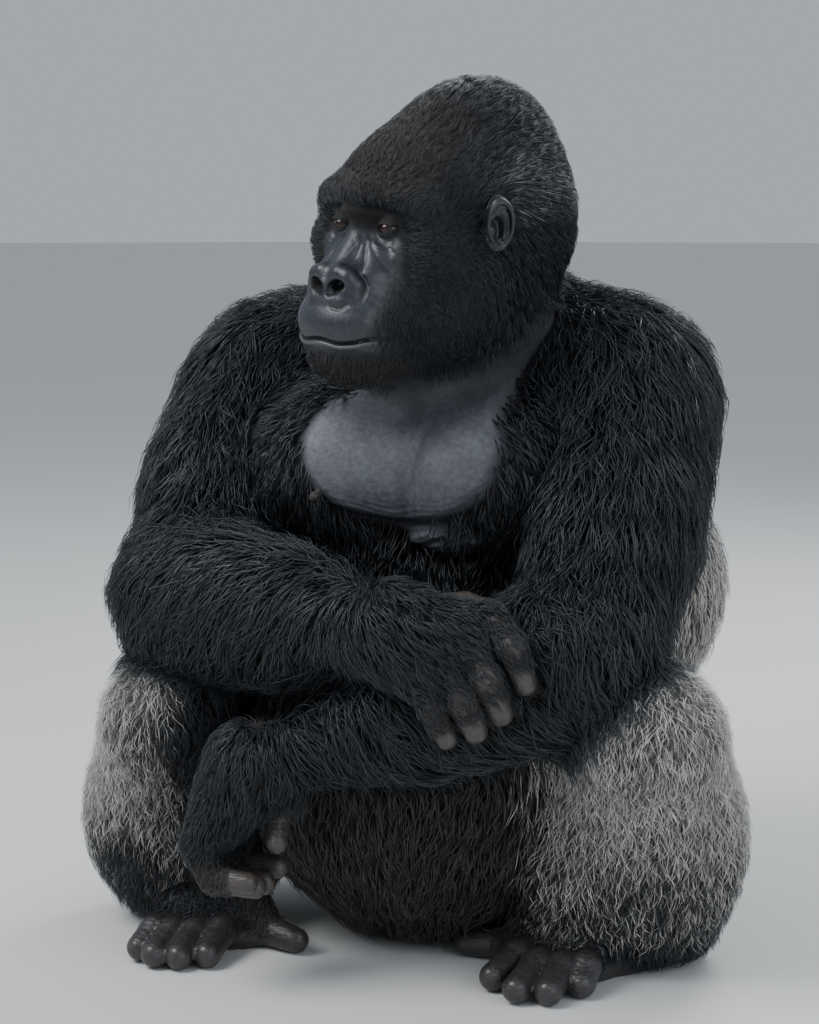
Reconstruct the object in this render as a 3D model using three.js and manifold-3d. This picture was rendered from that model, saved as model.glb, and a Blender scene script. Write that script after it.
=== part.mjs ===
// A silverback gorilla sitting on the ground, arms crossed over its knees, at life size.
// Units are millimetres. +Z is up, the animal faces -Y and its left side is +X.
// Every solid gives the outline of the coat. Its form is a few balls and tapers blended into one
// another, and a closed grid of vertices is drawn in along rays until it meets that form.

import * as THREE from "three";
import { mergeVertices } from "three/addons/utils/BufferGeometryUtils.js";
import Module from "manifold-3d";

const wasm = await Module();
wasm.setup();

// ---- How the solids are made ----
const GAP = 0.35; // kept between neighbouring parts
const SIMPLER = 0.2; // a cut may move a surface by this much
const FAR = 520; // where the rays start, outside every part
const LEAST_STEP = 0.5; // of a vertex along its ray
const HALVINGS = 10; // of the last step, to settle on the surface
const CAP_RINGS = 2; // on each round end of a limb or digit

// ---- Driving sizes: the head ----
const HEAD_AT = [52, -88, 868]; // midway between the ears
const HEAD_YAW = 22; // degrees, turned to its right
const HEAD_ROLL = 4; // degrees, tipped to its left
const EYE_SPACING = 70; // between the centres of the eyeballs
const EYEBALL = 12.5; // radius
const EYE_BACK = -118; // of the eyeball's centre, from the line between the ears
const EYE_UP = 8;

// ---- Driving sizes: the joints of the limbs ----
const SHOULDER = { left: [240, 96, 676], right: [-234, 108, 672] };
const ELBOW = { left: [262, -170, 396], right: [-240, -152, 430] };
const WRIST = { left: [-98, -290, 268], right: [72, -296, 436] };
const HIP = { left: [135, 160, 175], right: [-130, 160, 175] };
const KNEE = { left: [335, -158, 304], right: [-258, -166, 282] };
const ANKLE = { left: [318, 2, 72], right: [-298, -14, 72] };
const FOREARM = { left: { elbow: 90, wrist: 54 }, right: { elbow: 98, wrist: 62 } };

// From the index finger to the little one: the knuckle, then the steps to the middle joint and tip.
const FINGERS = ["index", "middle", "ring", "little"];
const FINGER_RADII = [16, 16.5, 16, 14.5];
const KNUCKLES = {
  left: [[-150, -244, 178], [-156, -270, 170], [-156, -297, 170], [-150, -324, 178]],
  right: [[180, -274, 450], [165, -297, 424], [145, -313, 400], [118, -320, 384]],
};
const TO_MIDDLE = {
  left: [[16, 0, -40], [14, 0, -42], [14, 0, -40], [16, 0, -36]],
  right: [[30, -16, -24], [22, -10, -32], [18, -6, -32], [14, -4, -26]],
};
const TO_TIP = {
  left: [[48, -4, 0], [50, -4, -2], [50, -2, -2], [44, 0, -2]],
  right: [[12, 12, -43], [12, 14, -41], [11, 14, -36], [11, 12, -35]],
};
const THUMB = {
  left: [[-92, -262, 232], [-74, -276, 204], [-66, -296, 182]],
  right: [[106, -262, 458], [140, -240, 458], [170, -222, 450]],
};

// The foot: its heel, the outer and inner ends of its ball, and the tips of its toes.
const FOOT = {
  left: { heel: [308, 20, 30], outer: [232, -116, 28], inner: [182, -84, 28], great: [92, -84, 17] },
  right: { heel: [-290, 6, 30], outer: [-232, -156, 28], inner: [-182, -124, 28], great: [-106, -146, 17] },
};
const TOES = ["second", "third", "fourth", "fifth"];
const TOE_TIPS = {
  left: [[160, -194], [198, -226], [234, -220], [262, -182]],
  right: [[-184, -232], [-213, -250], [-243, -253], [-270, -236]],
};
const TOE_RADIUS = { root: 18.5, tip: 17 };
const TOE_HEIGHT = { bend: 31, tip: 17.5 };

// Where level cuts part the trunk.
const RUMP_TOP = 190;
const BELLY_TOP = 430;
const CEILING = 1500;

// ---- Small helpers ----
const SIDES = ["right", "left"];
const sign = { right: -1, left: 1 };
const UPRIGHT = new THREE.Vector3(0, 1, 0);
const at = ([x, y, z]) => new THREE.Vector3(x, y, z);
const mix = (a, b, share) => a.map((value, i) => value + (b[i] - value) * share);
const moved = (a, step) => a.map((value, i) => value + step[i]);
const radians = THREE.MathUtils.degToRad;
const both = (make) => [make(-1), make(1)];

// ---- Forms: each is a function of a point that gives the distance to its surface ----
function ball(centre, radii, turn = [0, 0, 0]) {
  const inverse = new THREE.Matrix4()
    .makeRotationFromEuler(new THREE.Euler(...turn.map(radians)))
    .setPosition(...centre)
    .invert();
  const [a, b, c] = radii;
  const q = new THREE.Vector3();
  return (p) => {
    q.copy(p).applyMatrix4(inverse);
    const scaled = Math.hypot(q.x / a, q.y / b, q.z / c);
    const slope = Math.hypot(q.x / (a * a), q.y / (b * b), q.z / (c * c));
    return slope > 0 ? (scaled * (scaled - 1)) / slope : -Math.min(a, b, c);
  };
}

function taper(from, to, startRadius, endRadius) {
  const start = at(from);
  const axis = at(to).sub(start);
  const q = new THREE.Vector3();
  return (p) => {
    q.copy(p).sub(start);
    const share = THREE.MathUtils.clamp(q.dot(axis) / axis.lengthSq(), 0, 1);
    const radius = THREE.MathUtils.lerp(startRadius, endRadius, share);
    return q.addScaledVector(axis, -share).length() - radius;
  };
}

// The rounding that a blend adds where two distances are nearly alike.
function fillet(softness, a, b) {
  const share = Math.max(softness - Math.abs(a - b), 0) / softness;
  return (share * share * softness) / 4;
}

function blend(softness, ...forms) {
  const join = (a, b) => Math.min(a, b) - fillet(softness, a, b);
  return (p) => forms.map((form) => form(p)).reduce(join);
}

function hollowed(softness, form, ...tools) {
  const carve = (a, b) => Math.max(a, b) + fillet(softness, a, b);
  return (p) => tools.map((tool) => -tool(p)).reduce(carve, form(p));
}

// ---- Grids: closed geometry that holds only positions, drawn in onto a form ----
function welded(geometry) {
  const bare = new THREE.BufferGeometry();
  bare.setAttribute("position", geometry.getAttribute("position"));
  bare.setIndex(geometry.getIndex());
  const merged = mergeVertices(bare, 1e-4);
  const index = merged.getIndex().array;
  const kept = [];
  for (let i = 0; i < index.length; i += 3) {
    const [a, b, c] = index.subarray(i, i + 3);
    if (a !== b && b !== c && c !== a) kept.push(a, b, c);
  }
  merged.setIndex(kept);
  return merged;
}

// Each vertex comes in along the ray to its nearest point of the core, to the form's outermost skin.
function drawnIn(geometry, coreStart, coreEnd, form, extra) {
  const positions = geometry.getAttribute("position");
  const core = new THREE.Line3(coreStart, coreEnd);
  const onCore = new THREE.Vector3();
  const ray = new THREE.Vector3();
  const p = new THREE.Vector3();
  const distance = (reach) => form(p.copy(onCore).addScaledVector(ray, reach)) - extra;
  for (let i = 0; i < positions.count; i++) {
    p.fromBufferAttribute(positions, i);
    if (coreStart.equals(coreEnd)) onCore.copy(coreStart);
    else core.closestPointToPoint(p, true, onCore);
    ray.copy(p).sub(onCore).normalize();
    let outside = FAR;
    let inside = FAR;
    for (let left = distance(inside); left > 0 && inside > 1; left = distance(inside)) {
      outside = inside;
      inside = Math.max(inside - Math.max(left / 2, LEAST_STEP), 1);
    }
    for (let halving = 0; halving < HALVINGS; halving++) {
      const middle = (inside + outside) / 2;
      if (distance(middle) > 0) outside = middle;
      else inside = middle;
    }
    positions.setXYZ(i, ...p.copy(onCore).addScaledVector(ray, inside));
  }
  return geometry;
}

// A long part: a capsule's grid round the line from one end to the other.
function sleeve(from, to, sides, rings, form) {
  return (extra) => {
    const start = at(from);
    const end = at(to);
    const along = end.clone().sub(start);
    const grid = welded(new THREE.CapsuleGeometry(1, along.length(), CAP_RINGS, sides, rings));
    grid.applyQuaternion(new THREE.Quaternion().setFromUnitVectors(UPRIGHT, along.normalize()));
    grid.translate(...mix(from, to, 0.5));
    return drawnIn(grid, start, end, form, extra);
  };
}

// A round part: a sphere's grid round a short line, with its pole along an axis. Crowding above 1
// packs the rings at the pole.
function shell(from, to, pole, sides, rings, form, crowding = 1) {
  return (extra) => {
    const grid = welded(new THREE.SphereGeometry(1, sides, rings));
    const positions = grid.getAttribute("position");
    for (let i = 0; i < positions.count; i++) {
      const height = THREE.MathUtils.clamp(positions.getY(i), -1, 1);
      const angle = Math.PI * (Math.acos(height) / Math.PI) ** crowding;
      const across = Math.hypot(positions.getX(i), positions.getZ(i)) || 1;
      const spread = Math.sin(angle) / across;
      positions.setXYZ(i, positions.getX(i) * spread, Math.cos(angle), positions.getZ(i) * spread);
    }
    grid.applyQuaternion(new THREE.Quaternion().setFromUnitVectors(UPRIGHT, pole));
    grid.scale(FAR, FAR, FAR);
    grid.translate(...mix(from, to, 0.5));
    return drawnIn(grid, at(from), at(to), form, extra);
  };
}

// A finger or toe: a capsule's grid bent along a curve through its joints.
function digit(joints, rootRadius, tipRadius) {
  return (extra) => {
    const curve = new THREE.CatmullRomCurve3(joints.map(at));
    const length = curve.getLength();
    const grid = welded(new THREE.CapsuleGeometry(1, length, CAP_RINGS, 6, 2));
    const positions = grid.getAttribute("position");
    const hinge = at(joints[0]).sub(at(joints[1]));
    hinge.cross(at(joints[2]).sub(at(joints[1]))).normalize();
    const side = new THREE.Vector3();
    const over = new THREE.Vector3();
    for (let i = 0; i < positions.count; i++) {
      const along = positions.getY(i) + length / 2;
      const share = THREE.MathUtils.clamp(along / length, 0, 1);
      const point = curve.getPointAt(share);
      const tangent = curve.getTangentAt(share);
      side.copy(hinge).addScaledVector(tangent, -hinge.dot(tangent)).normalize();
      over.crossVectors(tangent, side);
      const radius = THREE.MathUtils.lerp(rootRadius, tipRadius, share) + extra;
      point.addScaledVector(tangent, (along - share * length) * radius);
      point.addScaledVector(side, -positions.getX(i) * radius);
      point.addScaledVector(over, positions.getZ(i) * radius);
      positions.setXYZ(i, ...point);
    }
    return grid;
  };
}

// ---- The head, in its own frame: x to its left, y backward, z up, from midway between the ears ----
const headFrame = new THREE.Matrix4()
  .makeRotationFromEuler(new THREE.Euler(0, radians(HEAD_ROLL), radians(-HEAD_YAW), "ZYX"))
  .setPosition(...HEAD_AT);
const headTurn = [0, HEAD_ROLL, -HEAD_YAW];
const onHead = (place) => at(place).applyMatrix4(headFrame).toArray();
const headAxis = (axis) => at(axis).transformDirection(headFrame);
const headBall = (place, radii) => ball(onHead(place), radii, headTurn);
const eyeAt = (s) => onHead([(s * EYE_SPACING) / 2, EYE_BACK, EYE_UP]);

function headForm() {
  const skull = blend(
    45,
    headBall([0, 26, 40], [101, 130, 98]), // brain case
    headBall([0, 64, 100], [80, 116, 87]), // crest
    headBall([0, -44, 58], [84, 75, 50]), // forehead
    headBall([0, 106, 10], [106, 102, 120]), // nape
    ...both((s) => headBall([s * 60, -26, -68], [54, 78, 78])), // cheeks
    headBall([0, -60, -95], [78, 90, 75]), // throat
  );
  const face = blend(
    18,
    ...both((s) => taper(onHead([s * 67, -101, 35]), onHead([0, -130, 41]), 25, 24)), // brow
    ...both((s) => headBall([s * 67, -88, -14], [37, 42, 44])), // cheekbones
    headBall([0, -122, -95], [66, 64, 60]), // muzzle
    headBall([0, -140, -98], [62, 48, 30]), // upper lip
    taper(onHead([0, -114, 14]), onHead([0, -163, -44]), 15, 18), // bridge of the nose
    ...both((s) => headBall([s * 19, -168, -58], [22, 20, 24])), // wings of the nose
    headBall([0, -134, -128], [58, 50, 30]), // lower lip
    headBall([0, -120, -142], [58, 60, 38]), // chin
  );
  const sockets = both((s) => headBall([(s * EYE_SPACING) / 2, -143, 6], [21, 20, 14]));
  return hollowed(9, blend(30, skull, face), ...sockets);
}

function earForm(s) {
  const turn = [12, HEAD_ROLL + s * 12, -HEAD_YAW - s * 20];
  const flap = ball(onHead([s * 104, -12, 18]), [11, 20, 33], turn);
  const bowl = ball(onHead([s * 115, -18, 24]), [8, 12, 21], turn);
  return hollowed(4, flap, bowl);
}

function neckForm() {
  const nape = taper([10, 120, 720], onHead([0, 62, -50]), 150, 96);
  const throat = taper([20, 30, 700], onHead([0, -20, -95]), 110, 70);
  return blend(60, nape, throat);
}

// ---- The trunk ----
function trunkForm() {
  const lower = blend(
    90,
    ball([5, 235, 155], [255, 205, 172]), // rump
    ball([12, 10, 236], [248, 236, 240]), // belly
  );
  const upper = blend(
    80,
    ball([8, 140, 440], [290, 240, 270]), // ribs
    ball([18, 232, 410], [318, 205, 230]), // flanks
    ball([5, 225, 560], [240, 150, 250]), // back
    taper([-185, 108, 664], [185, 100, 668], 118, 122), // shoulders
    ...both((s) => taper([8 + s * 30, 130, 765], [8 + s * 190, 125, 690], 88, 82)), // neck muscles
  );
  const breast = blend(35, ball([-76, -50, 586], [124, 118, 104]), ball([96, -48, 588], [128, 116, 106]));
  return blend(60, blend(90, lower, upper), breast);
}

// ---- The limbs ----
function upperArmForm(side) {
  const along = (share) => mix(SHOULDER[side], ELBOW[side], share);
  return blend(
    50,
    taper(SHOULDER[side], ELBOW[side], 108, 91),
    ball(along(0.2), [110, 120, 130]),
    ball(along(0.55), [110, 116, 124]),
  );
}

function forearmForm(side) {
  const { elbow, wrist } = FOREARM[side];
  const along = (share) => mix(ELBOW[side], WRIST[side], share);
  return blend(
    40,
    taper(ELBOW[side], WRIST[side], elbow, wrist),
    taper(along(0.15), along(0.5), elbow, elbow - 8),
  );
}

function handForm(side) {
  return blend(26, ...KNUCKLES[side].map((knuckle) => taper(WRIST[side], knuckle, 44, 26)));
}

// The folded leg's flesh and coat bulge down over the foot: a high and a low ball.
const CALF = {
  left: {
    high: [[280, -40, 168], [126, 106, 124]],
    low: [[233, -35, 92], [104, 88, 66]],
  },
  right: {
    high: [[-296, -60, 166], [112, 104, 116]],
    low: [[-284, -55, 96], [106, 88, 72]],
  },
};

function thighForm(side) {
  const middle = mix(HIP[side], KNEE[side], 0.5);
  return blend(60, taper(HIP[side], KNEE[side], 130, 78), ball(middle, [116, 126, 126]));
}

function shinForm(side) {
  const { high, low } = CALF[side];
  return blend(110, taper(KNEE[side], ANKLE[side], 92, 58), ball(...high), ball(...low));
}

function footForm(side) {
  const { heel, outer, inner } = FOOT[side];
  return blend(
    30,
    taper(heel, outer, 42, 38),
    taper(heel, inner, 42, 34),
    taper(ANKLE[side], mix(heel, outer, 0.6), 48, 40),
    taper(outer, inner, 38, 34),
  );
}

// ---- Every part. Where two meet, the one listed first keeps its form and the other gives way ----
const BLACK_COAT = { color: 0x17181b, roughness: 0.8, metalness: 0 };
const SILVER_COAT = { color: 0x9c9890, roughness: 0.8, metalness: 0 };
const DARK_SKIN = { color: 0x2b2d31, roughness: 0.55, metalness: 0 };
const EYE = { color: 0x24140c, roughness: 0.1, metalness: 0 };

const parts = [];
const part = (name, look, anchor, build) => parts.push({ name, look, anchor, build });
const facing = headAxis([0, -1, 0.02]);

for (const side of SIDES) {
  const centre = eyeAt(sign[side]);
  const form = ball(centre, [EYEBALL, EYEBALL, EYEBALL]);
  part(`eye_${side}`, EYE, centre, shell(centre, centre, facing, 10, 6, form));
}

part("neck", BLACK_COAT, [12, 90, 760], sleeve([10, 110, 740], onHead([0, 50, -50]), 14, 2, neckForm()));

const headCore = [onHead([0, -42, -18]), onHead([0, 20, 10])];
part("head", BLACK_COAT, HEAD_AT, shell(...headCore, facing, 31, 23, headForm(), 1.15));

for (const side of SIDES) {
  const s = sign[side];
  const root = onHead([s * 104, -12, 18]);
  part(`ear_${side}`, DARK_SKIN, root, shell(root, root, headAxis([s, 0, 0]), 12, 8, earForm(s)));
}

for (const side of SIDES) {
  const middleKnuckle = mix(KNUCKLES[side][1], KNUCKLES[side][2], 0.5);
  const palm = mix(WRIST[side], middleKnuckle, 0.3);
  part(`hand_${side}`, BLACK_COAT, WRIST[side], sleeve(palm, middleKnuckle, 11, 3, handForm(side)));
}

for (const side of SIDES) {
  FINGERS.forEach((finger, i) => {
    const knuckle = KNUCKLES[side][i];
    const middle = moved(knuckle, TO_MIDDLE[side][i]);
    const tip = moved(middle, TO_TIP[side][i]);
    const build = digit([knuckle, middle, tip], FINGER_RADII[i], FINGER_RADII[i] - 2);
    part(`finger_${finger}_${side}`, DARK_SKIN, knuckle, build);
  });
  part(`thumb_${side}`, DARK_SKIN, THUMB[side][0], digit(THUMB[side], 17, 13.5));
}

for (const side of SIDES) {
  const nearWrist = mix(ELBOW[side], WRIST[side], 0.94);
  part(`forearm_${side}`, BLACK_COAT, ELBOW[side], sleeve(ELBOW[side], nearWrist, 12, 5, forearmForm(side)));
}

for (const side of SIDES) {
  const arm = sleeve(SHOULDER[side], ELBOW[side], 11, 5, upperArmForm(side));
  part(`upper_arm_${side}`, BLACK_COAT, SHOULDER[side], arm);
}

for (const side of SIDES) {
  const { heel, outer, inner, great } = FOOT[side];
  part(`shin_${side}`, SILVER_COAT, KNEE[side], sleeve(KNEE[side], CALF[side].low[0], 12, 5, shinForm(side)));
  const instep = mix(ANKLE[side], heel, 0.7);
  part(`foot_${side}`, DARK_SKIN, ANKLE[side], sleeve(instep, mix(outer, inner, 0.4), 12, 4, footForm(side)));
  TOES.forEach((toe, i) => {
    const tip = [...TOE_TIPS[side][i], TOE_HEIGHT.tip];
    const root = mix(inner, outer, 0.2 + 0.45 * i);
    const [x, y] = mix(root, tip, 0.6);
    const bend = [x, y, TOE_HEIGHT.bend];
    const build = digit([mix(root, bend, 0.35), bend, tip], TOE_RADIUS.root, TOE_RADIUS.tip);
    part(`toe_${toe}_${side}`, DARK_SKIN, root, build);
  });
  const greatJoints = [mix(inner, great, 0.2), moved(mix(inner, great, 0.55), [0, 0, 2]), great];
  part(`toe_great_${side}`, DARK_SKIN, inner, digit(greatJoints, 24, 17));
}

for (const side of SIDES) {
  part(`thigh_${side}`, SILVER_COAT, HIP[side], sleeve(HIP[side], KNEE[side], 11, 5, thighForm(side)));
}

// The trunk is one form, parted by thin level cuts.
const trunk = sleeve([5, 190, 230], [5, 110, 600], 22, 8, trunkForm());
part("rump", SILVER_COAT, [5, 190, 95], trunk);
part("belly", SILVER_COAT, [5, 150, 310], trunk);
part("chest", BLACK_COAT, [5, 120, 600], trunk);
const LEVELS = { rump: [0, RUMP_TOP], belly: [RUMP_TOP + GAP, BELLY_TOP], chest: [BELLY_TOP + GAP, CEILING] };

// ---- Cutting the parts from one another ----
function solid(geometry) {
  const vertProperties = Float32Array.from(geometry.getAttribute("position").array);
  const triVerts = Uint32Array.from(geometry.getIndex().array);
  return new wasm.Manifold(new wasm.Mesh({ numProp: 3, vertProperties, triVerts }));
}

function between(low, high) {
  const layer = new THREE.BoxGeometry(2000, 2000, high - low);
  layer.translate(0, 0, (low + high) / 2);
  return solid(welded(layer));
}

function meet(a, b) {
  return [0, 1, 2].every((k) => a.min[k] < b.max[k] && b.min[k] < a.max[k]);
}

function meshOf(body, { name, look, anchor }) {
  const { vertProperties, triVerts } = body.getMesh();
  const geometry = new THREE.BufferGeometry();
  geometry.setAttribute("position", new THREE.BufferAttribute(vertProperties, 3));
  geometry.setIndex(new THREE.BufferAttribute(triVerts, 1));
  geometry.translate(...anchor.map((value) => -value));
  const mesh = new THREE.Mesh(geometry, new THREE.MeshStandardMaterial(look));
  mesh.name = name;
  mesh.position.set(...anchor);
  return mesh;
}

const gorilla = new THREE.Group();
gorilla.name = "gorilla";
const earlier = [];

for (const piece of parts) {
  const [low, high] = LEVELS[piece.name] ?? [0, CEILING];
  let body = solid(piece.build(0)).intersect(between(low, high));
  for (const keeper of earlier) {
    if (meet(keeper.boundingBox(), body.boundingBox())) body = body.subtract(keeper);
  }
  const lumps = body.simplify(SIMPLER).decompose();
  body = lumps.reduce((a, b) => (a.volume() > b.volume() ? a : b));
  if (!LEVELS[piece.name]) earlier.push(solid(piece.build(GAP)));
  gorilla.add(meshOf(body, piece));
}

// The origin is on the ground, under the middle of the whole outline.
const middle = new THREE.Box3().setFromObject(gorilla).getCenter(new THREE.Vector3());
gorilla.position.set(-middle.x, -middle.y, 0);

export default gorilla;
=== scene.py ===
# %% [markdown]
# # A seated silverback, life size, as a museum shows it
# The model is one closed skin with a coat of small mesh tufts on it, two eyes and fourteen nails.
# An animal could be sculpted by hand, with particle hair on top. Here every form is a formula
# instead: balls and tapered bars melt into one another, and numpy finds the surface where the
# formula is zero. The same formula then tells each tuft which way to lie and how high to stand.

# %% Tools and the frame
import time

import bpy
import numpy as np
from mathutils import Euler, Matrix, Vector


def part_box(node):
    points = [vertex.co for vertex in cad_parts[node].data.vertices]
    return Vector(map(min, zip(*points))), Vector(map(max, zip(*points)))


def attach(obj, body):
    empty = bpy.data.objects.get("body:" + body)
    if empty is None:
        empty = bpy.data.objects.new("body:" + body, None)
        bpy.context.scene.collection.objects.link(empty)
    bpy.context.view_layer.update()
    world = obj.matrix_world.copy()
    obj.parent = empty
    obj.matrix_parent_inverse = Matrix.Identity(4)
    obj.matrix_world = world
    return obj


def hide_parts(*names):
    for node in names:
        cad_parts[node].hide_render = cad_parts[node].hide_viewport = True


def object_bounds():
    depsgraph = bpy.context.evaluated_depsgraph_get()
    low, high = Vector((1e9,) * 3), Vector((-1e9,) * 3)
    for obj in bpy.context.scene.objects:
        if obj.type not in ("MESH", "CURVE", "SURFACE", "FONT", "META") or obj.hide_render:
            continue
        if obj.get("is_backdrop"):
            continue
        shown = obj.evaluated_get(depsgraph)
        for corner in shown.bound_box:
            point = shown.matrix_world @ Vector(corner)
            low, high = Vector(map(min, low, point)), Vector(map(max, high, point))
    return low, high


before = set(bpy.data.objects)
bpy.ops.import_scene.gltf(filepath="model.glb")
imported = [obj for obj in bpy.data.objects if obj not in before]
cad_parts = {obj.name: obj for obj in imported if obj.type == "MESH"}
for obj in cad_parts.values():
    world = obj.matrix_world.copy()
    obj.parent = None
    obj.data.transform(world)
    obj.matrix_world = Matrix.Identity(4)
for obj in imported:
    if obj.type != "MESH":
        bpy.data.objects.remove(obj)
CAD_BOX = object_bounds()
START = time.time()
MM = 0.001
SEED = 20
SIDES = ("left", "right")


def told(text):
    """Prints a line with the seconds since the start."""
    print(f"[{time.time() - START:6.1f} s] {text}")


told(f"CAD box {[[round(c, 4) for c in corner] for corner in CAD_BOX]}")

# %% [markdown]
# ## The anatomy as tables
# A sculptor starts from a skeleton. Ours is a list of joints in millimetres, the same ones that the
# CAD solids were drawn from. The animal faces -Y, its left is +X, and +Z is up. The whole table is
# moved once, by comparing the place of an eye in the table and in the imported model.

# %% Joints and sizes, in millimetres
HEAD_AT = np.array([52.0, -88.0, 868.0])
HEAD_YAW, HEAD_ROLL = 22.0, 4.0
EYE = np.array([35.0, -118.0, 8.0])
EYE_RADIUS = 12.5
JOINTS = {
    "shoulder": {"left": (240, 96, 676), "right": (-234, 108, 672)},
    "elbow": {"left": (262, -170, 396), "right": (-240, -152, 430)},
    "wrist": {"left": (-98, -290, 268), "right": (72, -296, 436)},
    "hip": {"left": (135, 160, 175), "right": (-130, 160, 175)},
    "knee": {"left": (335, -158, 304), "right": (-258, -166, 282)},
    "ankle": {"left": (318, 2, 72), "right": (-298, -14, 72)},
    "heel": {"left": (308, 20, 30), "right": (-290, 6, 30)},
    "outer": {"left": (232, -116, 28), "right": (-232, -156, 28)},
    "inner": {"left": (182, -84, 28), "right": (-182, -124, 28)},
    "great": {"left": (92, -84, 17), "right": (-106, -146, 17)},
}
KNUCKLES = {
    "left": [(-150, -244, 178), (-156, -270, 170), (-156, -297, 170), (-150, -324, 178)],
    "right": [(180, -274, 450), (165, -297, 424), (145, -313, 400), (118, -320, 384)],
}
TO_MIDDLE = {
    "left": [(16, 0, -40), (14, 0, -42), (14, 0, -40), (16, 0, -36)],
    "right": [(30, -16, -24), (22, -10, -32), (18, -6, -32), (14, -4, -26)],
}
TO_TIP = {
    "left": [(48, -4, 0), (50, -4, -2), (50, -2, -2), (44, 0, -2)],
    "right": [(12, 12, -43), (12, 14, -41), (11, 14, -36), (11, 12, -35)],
}
FINGER_RADII = (16.0, 16.5, 16.0, 14.5)
THUMB = {
    "left": [(-92, -262, 232), (-74, -276, 204), (-66, -296, 182)],
    "right": [(106, -262, 458), (140, -240, 458), (170, -222, 450)],
}
TOE_TIPS = {
    "left": [(160, -194, 17.5), (198, -226, 17.5), (234, -220, 17.5), (262, -182, 17.5)],
    "right": [(-184, -232, 17.5), (-213, -250, 17.5), (-243, -253, 17.5), (-270, -236, 17.5)],
}
FIRST_TOE, NEXT_TOE = 0.2, 0.45  # places of the toe roots, as shares of the way across the sole
ARCH_SHARE, ARCH_HEIGHT = 0.55, 31.0
FOREARM_RADII = {"left": (90.0, 54.0), "right": (98.0, 62.0)}


def at(name, side):
    """The joint's place in the table, in millimetres."""
    return np.array(JOINTS[name][side], float)


def mix(a, b, share):
    """a + (b - a) share."""
    return a + (b - a) * share


def column(*numbers):
    """One place or direction, ready to be added to columns of places."""
    return np.array(numbers, float)[:, None]


def smooth(low, high, value):
    """0 below low, 1 above high, and 3t^2 - 2t^3 between them."""
    t = np.clip((value - low) / (high - low), 0.0, 1.0)
    return t * t * (3.0 - 2.0 * t)


def finger_joints(side):
    """Knuckle, middle joint and tip of each of the four fingers."""
    knuckles = np.array(KNUCKLES[side], float)
    middles = knuckles + TO_MIDDLE[side]
    return list(zip(knuckles, middles, middles + TO_TIP[side]))


def toe_joints(side):
    """Root, arch and tip of the four small toes; the roots stand evenly across the sole."""
    joints = []
    for number, tip in enumerate(np.array(TOE_TIPS[side], float)):
        root = mix(at("inner", side), at("outer", side), FIRST_TOE + NEXT_TOE * number)
        arch = mix(root, tip, ARCH_SHARE)
        arch[2] = ARCH_HEIGHT
        joints.append((root, arch, tip))
    return joints


HEAD_TURN = np.array(Euler((0.0, np.radians(HEAD_ROLL), -np.radians(HEAD_YAW)), "XYZ").to_matrix())


def in_head(p):
    """Places in the head's own frame: the transposed turn of p - HEAD_AT."""
    return HEAD_TURN.T @ (p - HEAD_AT[:, None])


def from_head(q):
    """The way back: HEAD_AT + the turn of q."""
    return HEAD_AT[:, None] + HEAD_TURN @ np.asarray(q, float).reshape(3, -1)


corner_low, corner_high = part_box("eye_left")
eye_in_table = from_head(EYE)[:, 0]
SHIFT = np.array((corner_low + corner_high) / 2) / MM - eye_in_table
FLOOR = -SHIFT[2]
told(f"the table is moved by {np.round(SHIFT, 1)} mm, floor at {FLOOR:.2f}")

# %% [markdown]
# ## Forms that melt together
# Flesh has no edges: a cheek runs into a jaw. A signed distance does that well. It is negative
# inside a form and positive outside, two forms join where the smaller distance wins, and a *soft*
# minimum rounds the join by a chosen width. Sculpting in Blender with metaballs is the same idea,
# but a formula of our own also gives sockets, nostrils and folds.

# %% Balls, tapers and soft joins
def lengths(q):
    """The length of each column of q."""
    return np.sqrt(np.einsum("ij,ij->j", q, q))


def ball(p, centre, radii, turn=None):
    """Nearly the distance from an ellipsoid: |q/r| (|q/r| - 1) / |q/r^2|, with q = p - centre."""
    q = p - np.asarray(centre, p.dtype).reshape(3, 1)
    if turn is not None:
        q = turn.T.astype(p.dtype) @ q
    r = np.asarray(radii, p.dtype).reshape(3, 1)
    q = q / r
    scaled = lengths(q)
    return scaled * (scaled - 1.0) / np.maximum(lengths(q / r), 1e-6)


def ball_pair(q, centre, radii):
    """The nearer of two balls that mirror each other across the middle of the head."""
    return np.minimum(*[ball(q, np.array(centre) * (s, 1, 1), radii) for s in (1, -1)])


def taper(p, start, end, start_radius, end_radius):
    """The distance from the nearest point of a bar's middle line, less the bar's radius there."""
    start = np.asarray(start, p.dtype)
    along = np.asarray(end, p.dtype) - start
    q = p - start[:, None]
    share = np.clip((along @ q) / (along @ along), 0.0, 1.0)
    q = q - along[:, None] * share
    return lengths(q) - mix(start_radius, end_radius, share)


def blend(width, *forms):
    """The soft minimum of all forms: min(a, b) - h^2 w / 4, with h = max(w - |a - b|, 0) / w."""
    total = forms[0]
    for form in forms[1:]:
        share = np.maximum(width - np.abs(total - form), 0.0) / np.maximum(width, 1e-3)
        total = np.minimum(total, form) - share * share * width / 4.0
    return total


def carve(width, form, *tools):
    """The soft maximum of the form and each tool turned inside out."""
    for tool in tools:
        form = -blend(width, -form, tool)
    return form


# %% [markdown]
# ## The head
# The head gets the most care: a high crest, a bar of bone over the eyes, sunken sockets with lids,
# a flat padded nose and a long upper lip. Everything is placed in the head's own frame, so that the
# turn of the head is one number.

# %% Skull and face
WING = [(4, -171, -44, 7.0), (13, -174, -41.5, 8.0), (23, -171, -45.5, 9.0), (29.5, -165, -55, 9.0),
        (28.5, -166, -66, 8.5), (18, -174, -74, 7.5), (4, -177, -75, 6.0)]
EAR_AT = np.array([103.0, -12.0, 18.0])


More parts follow.
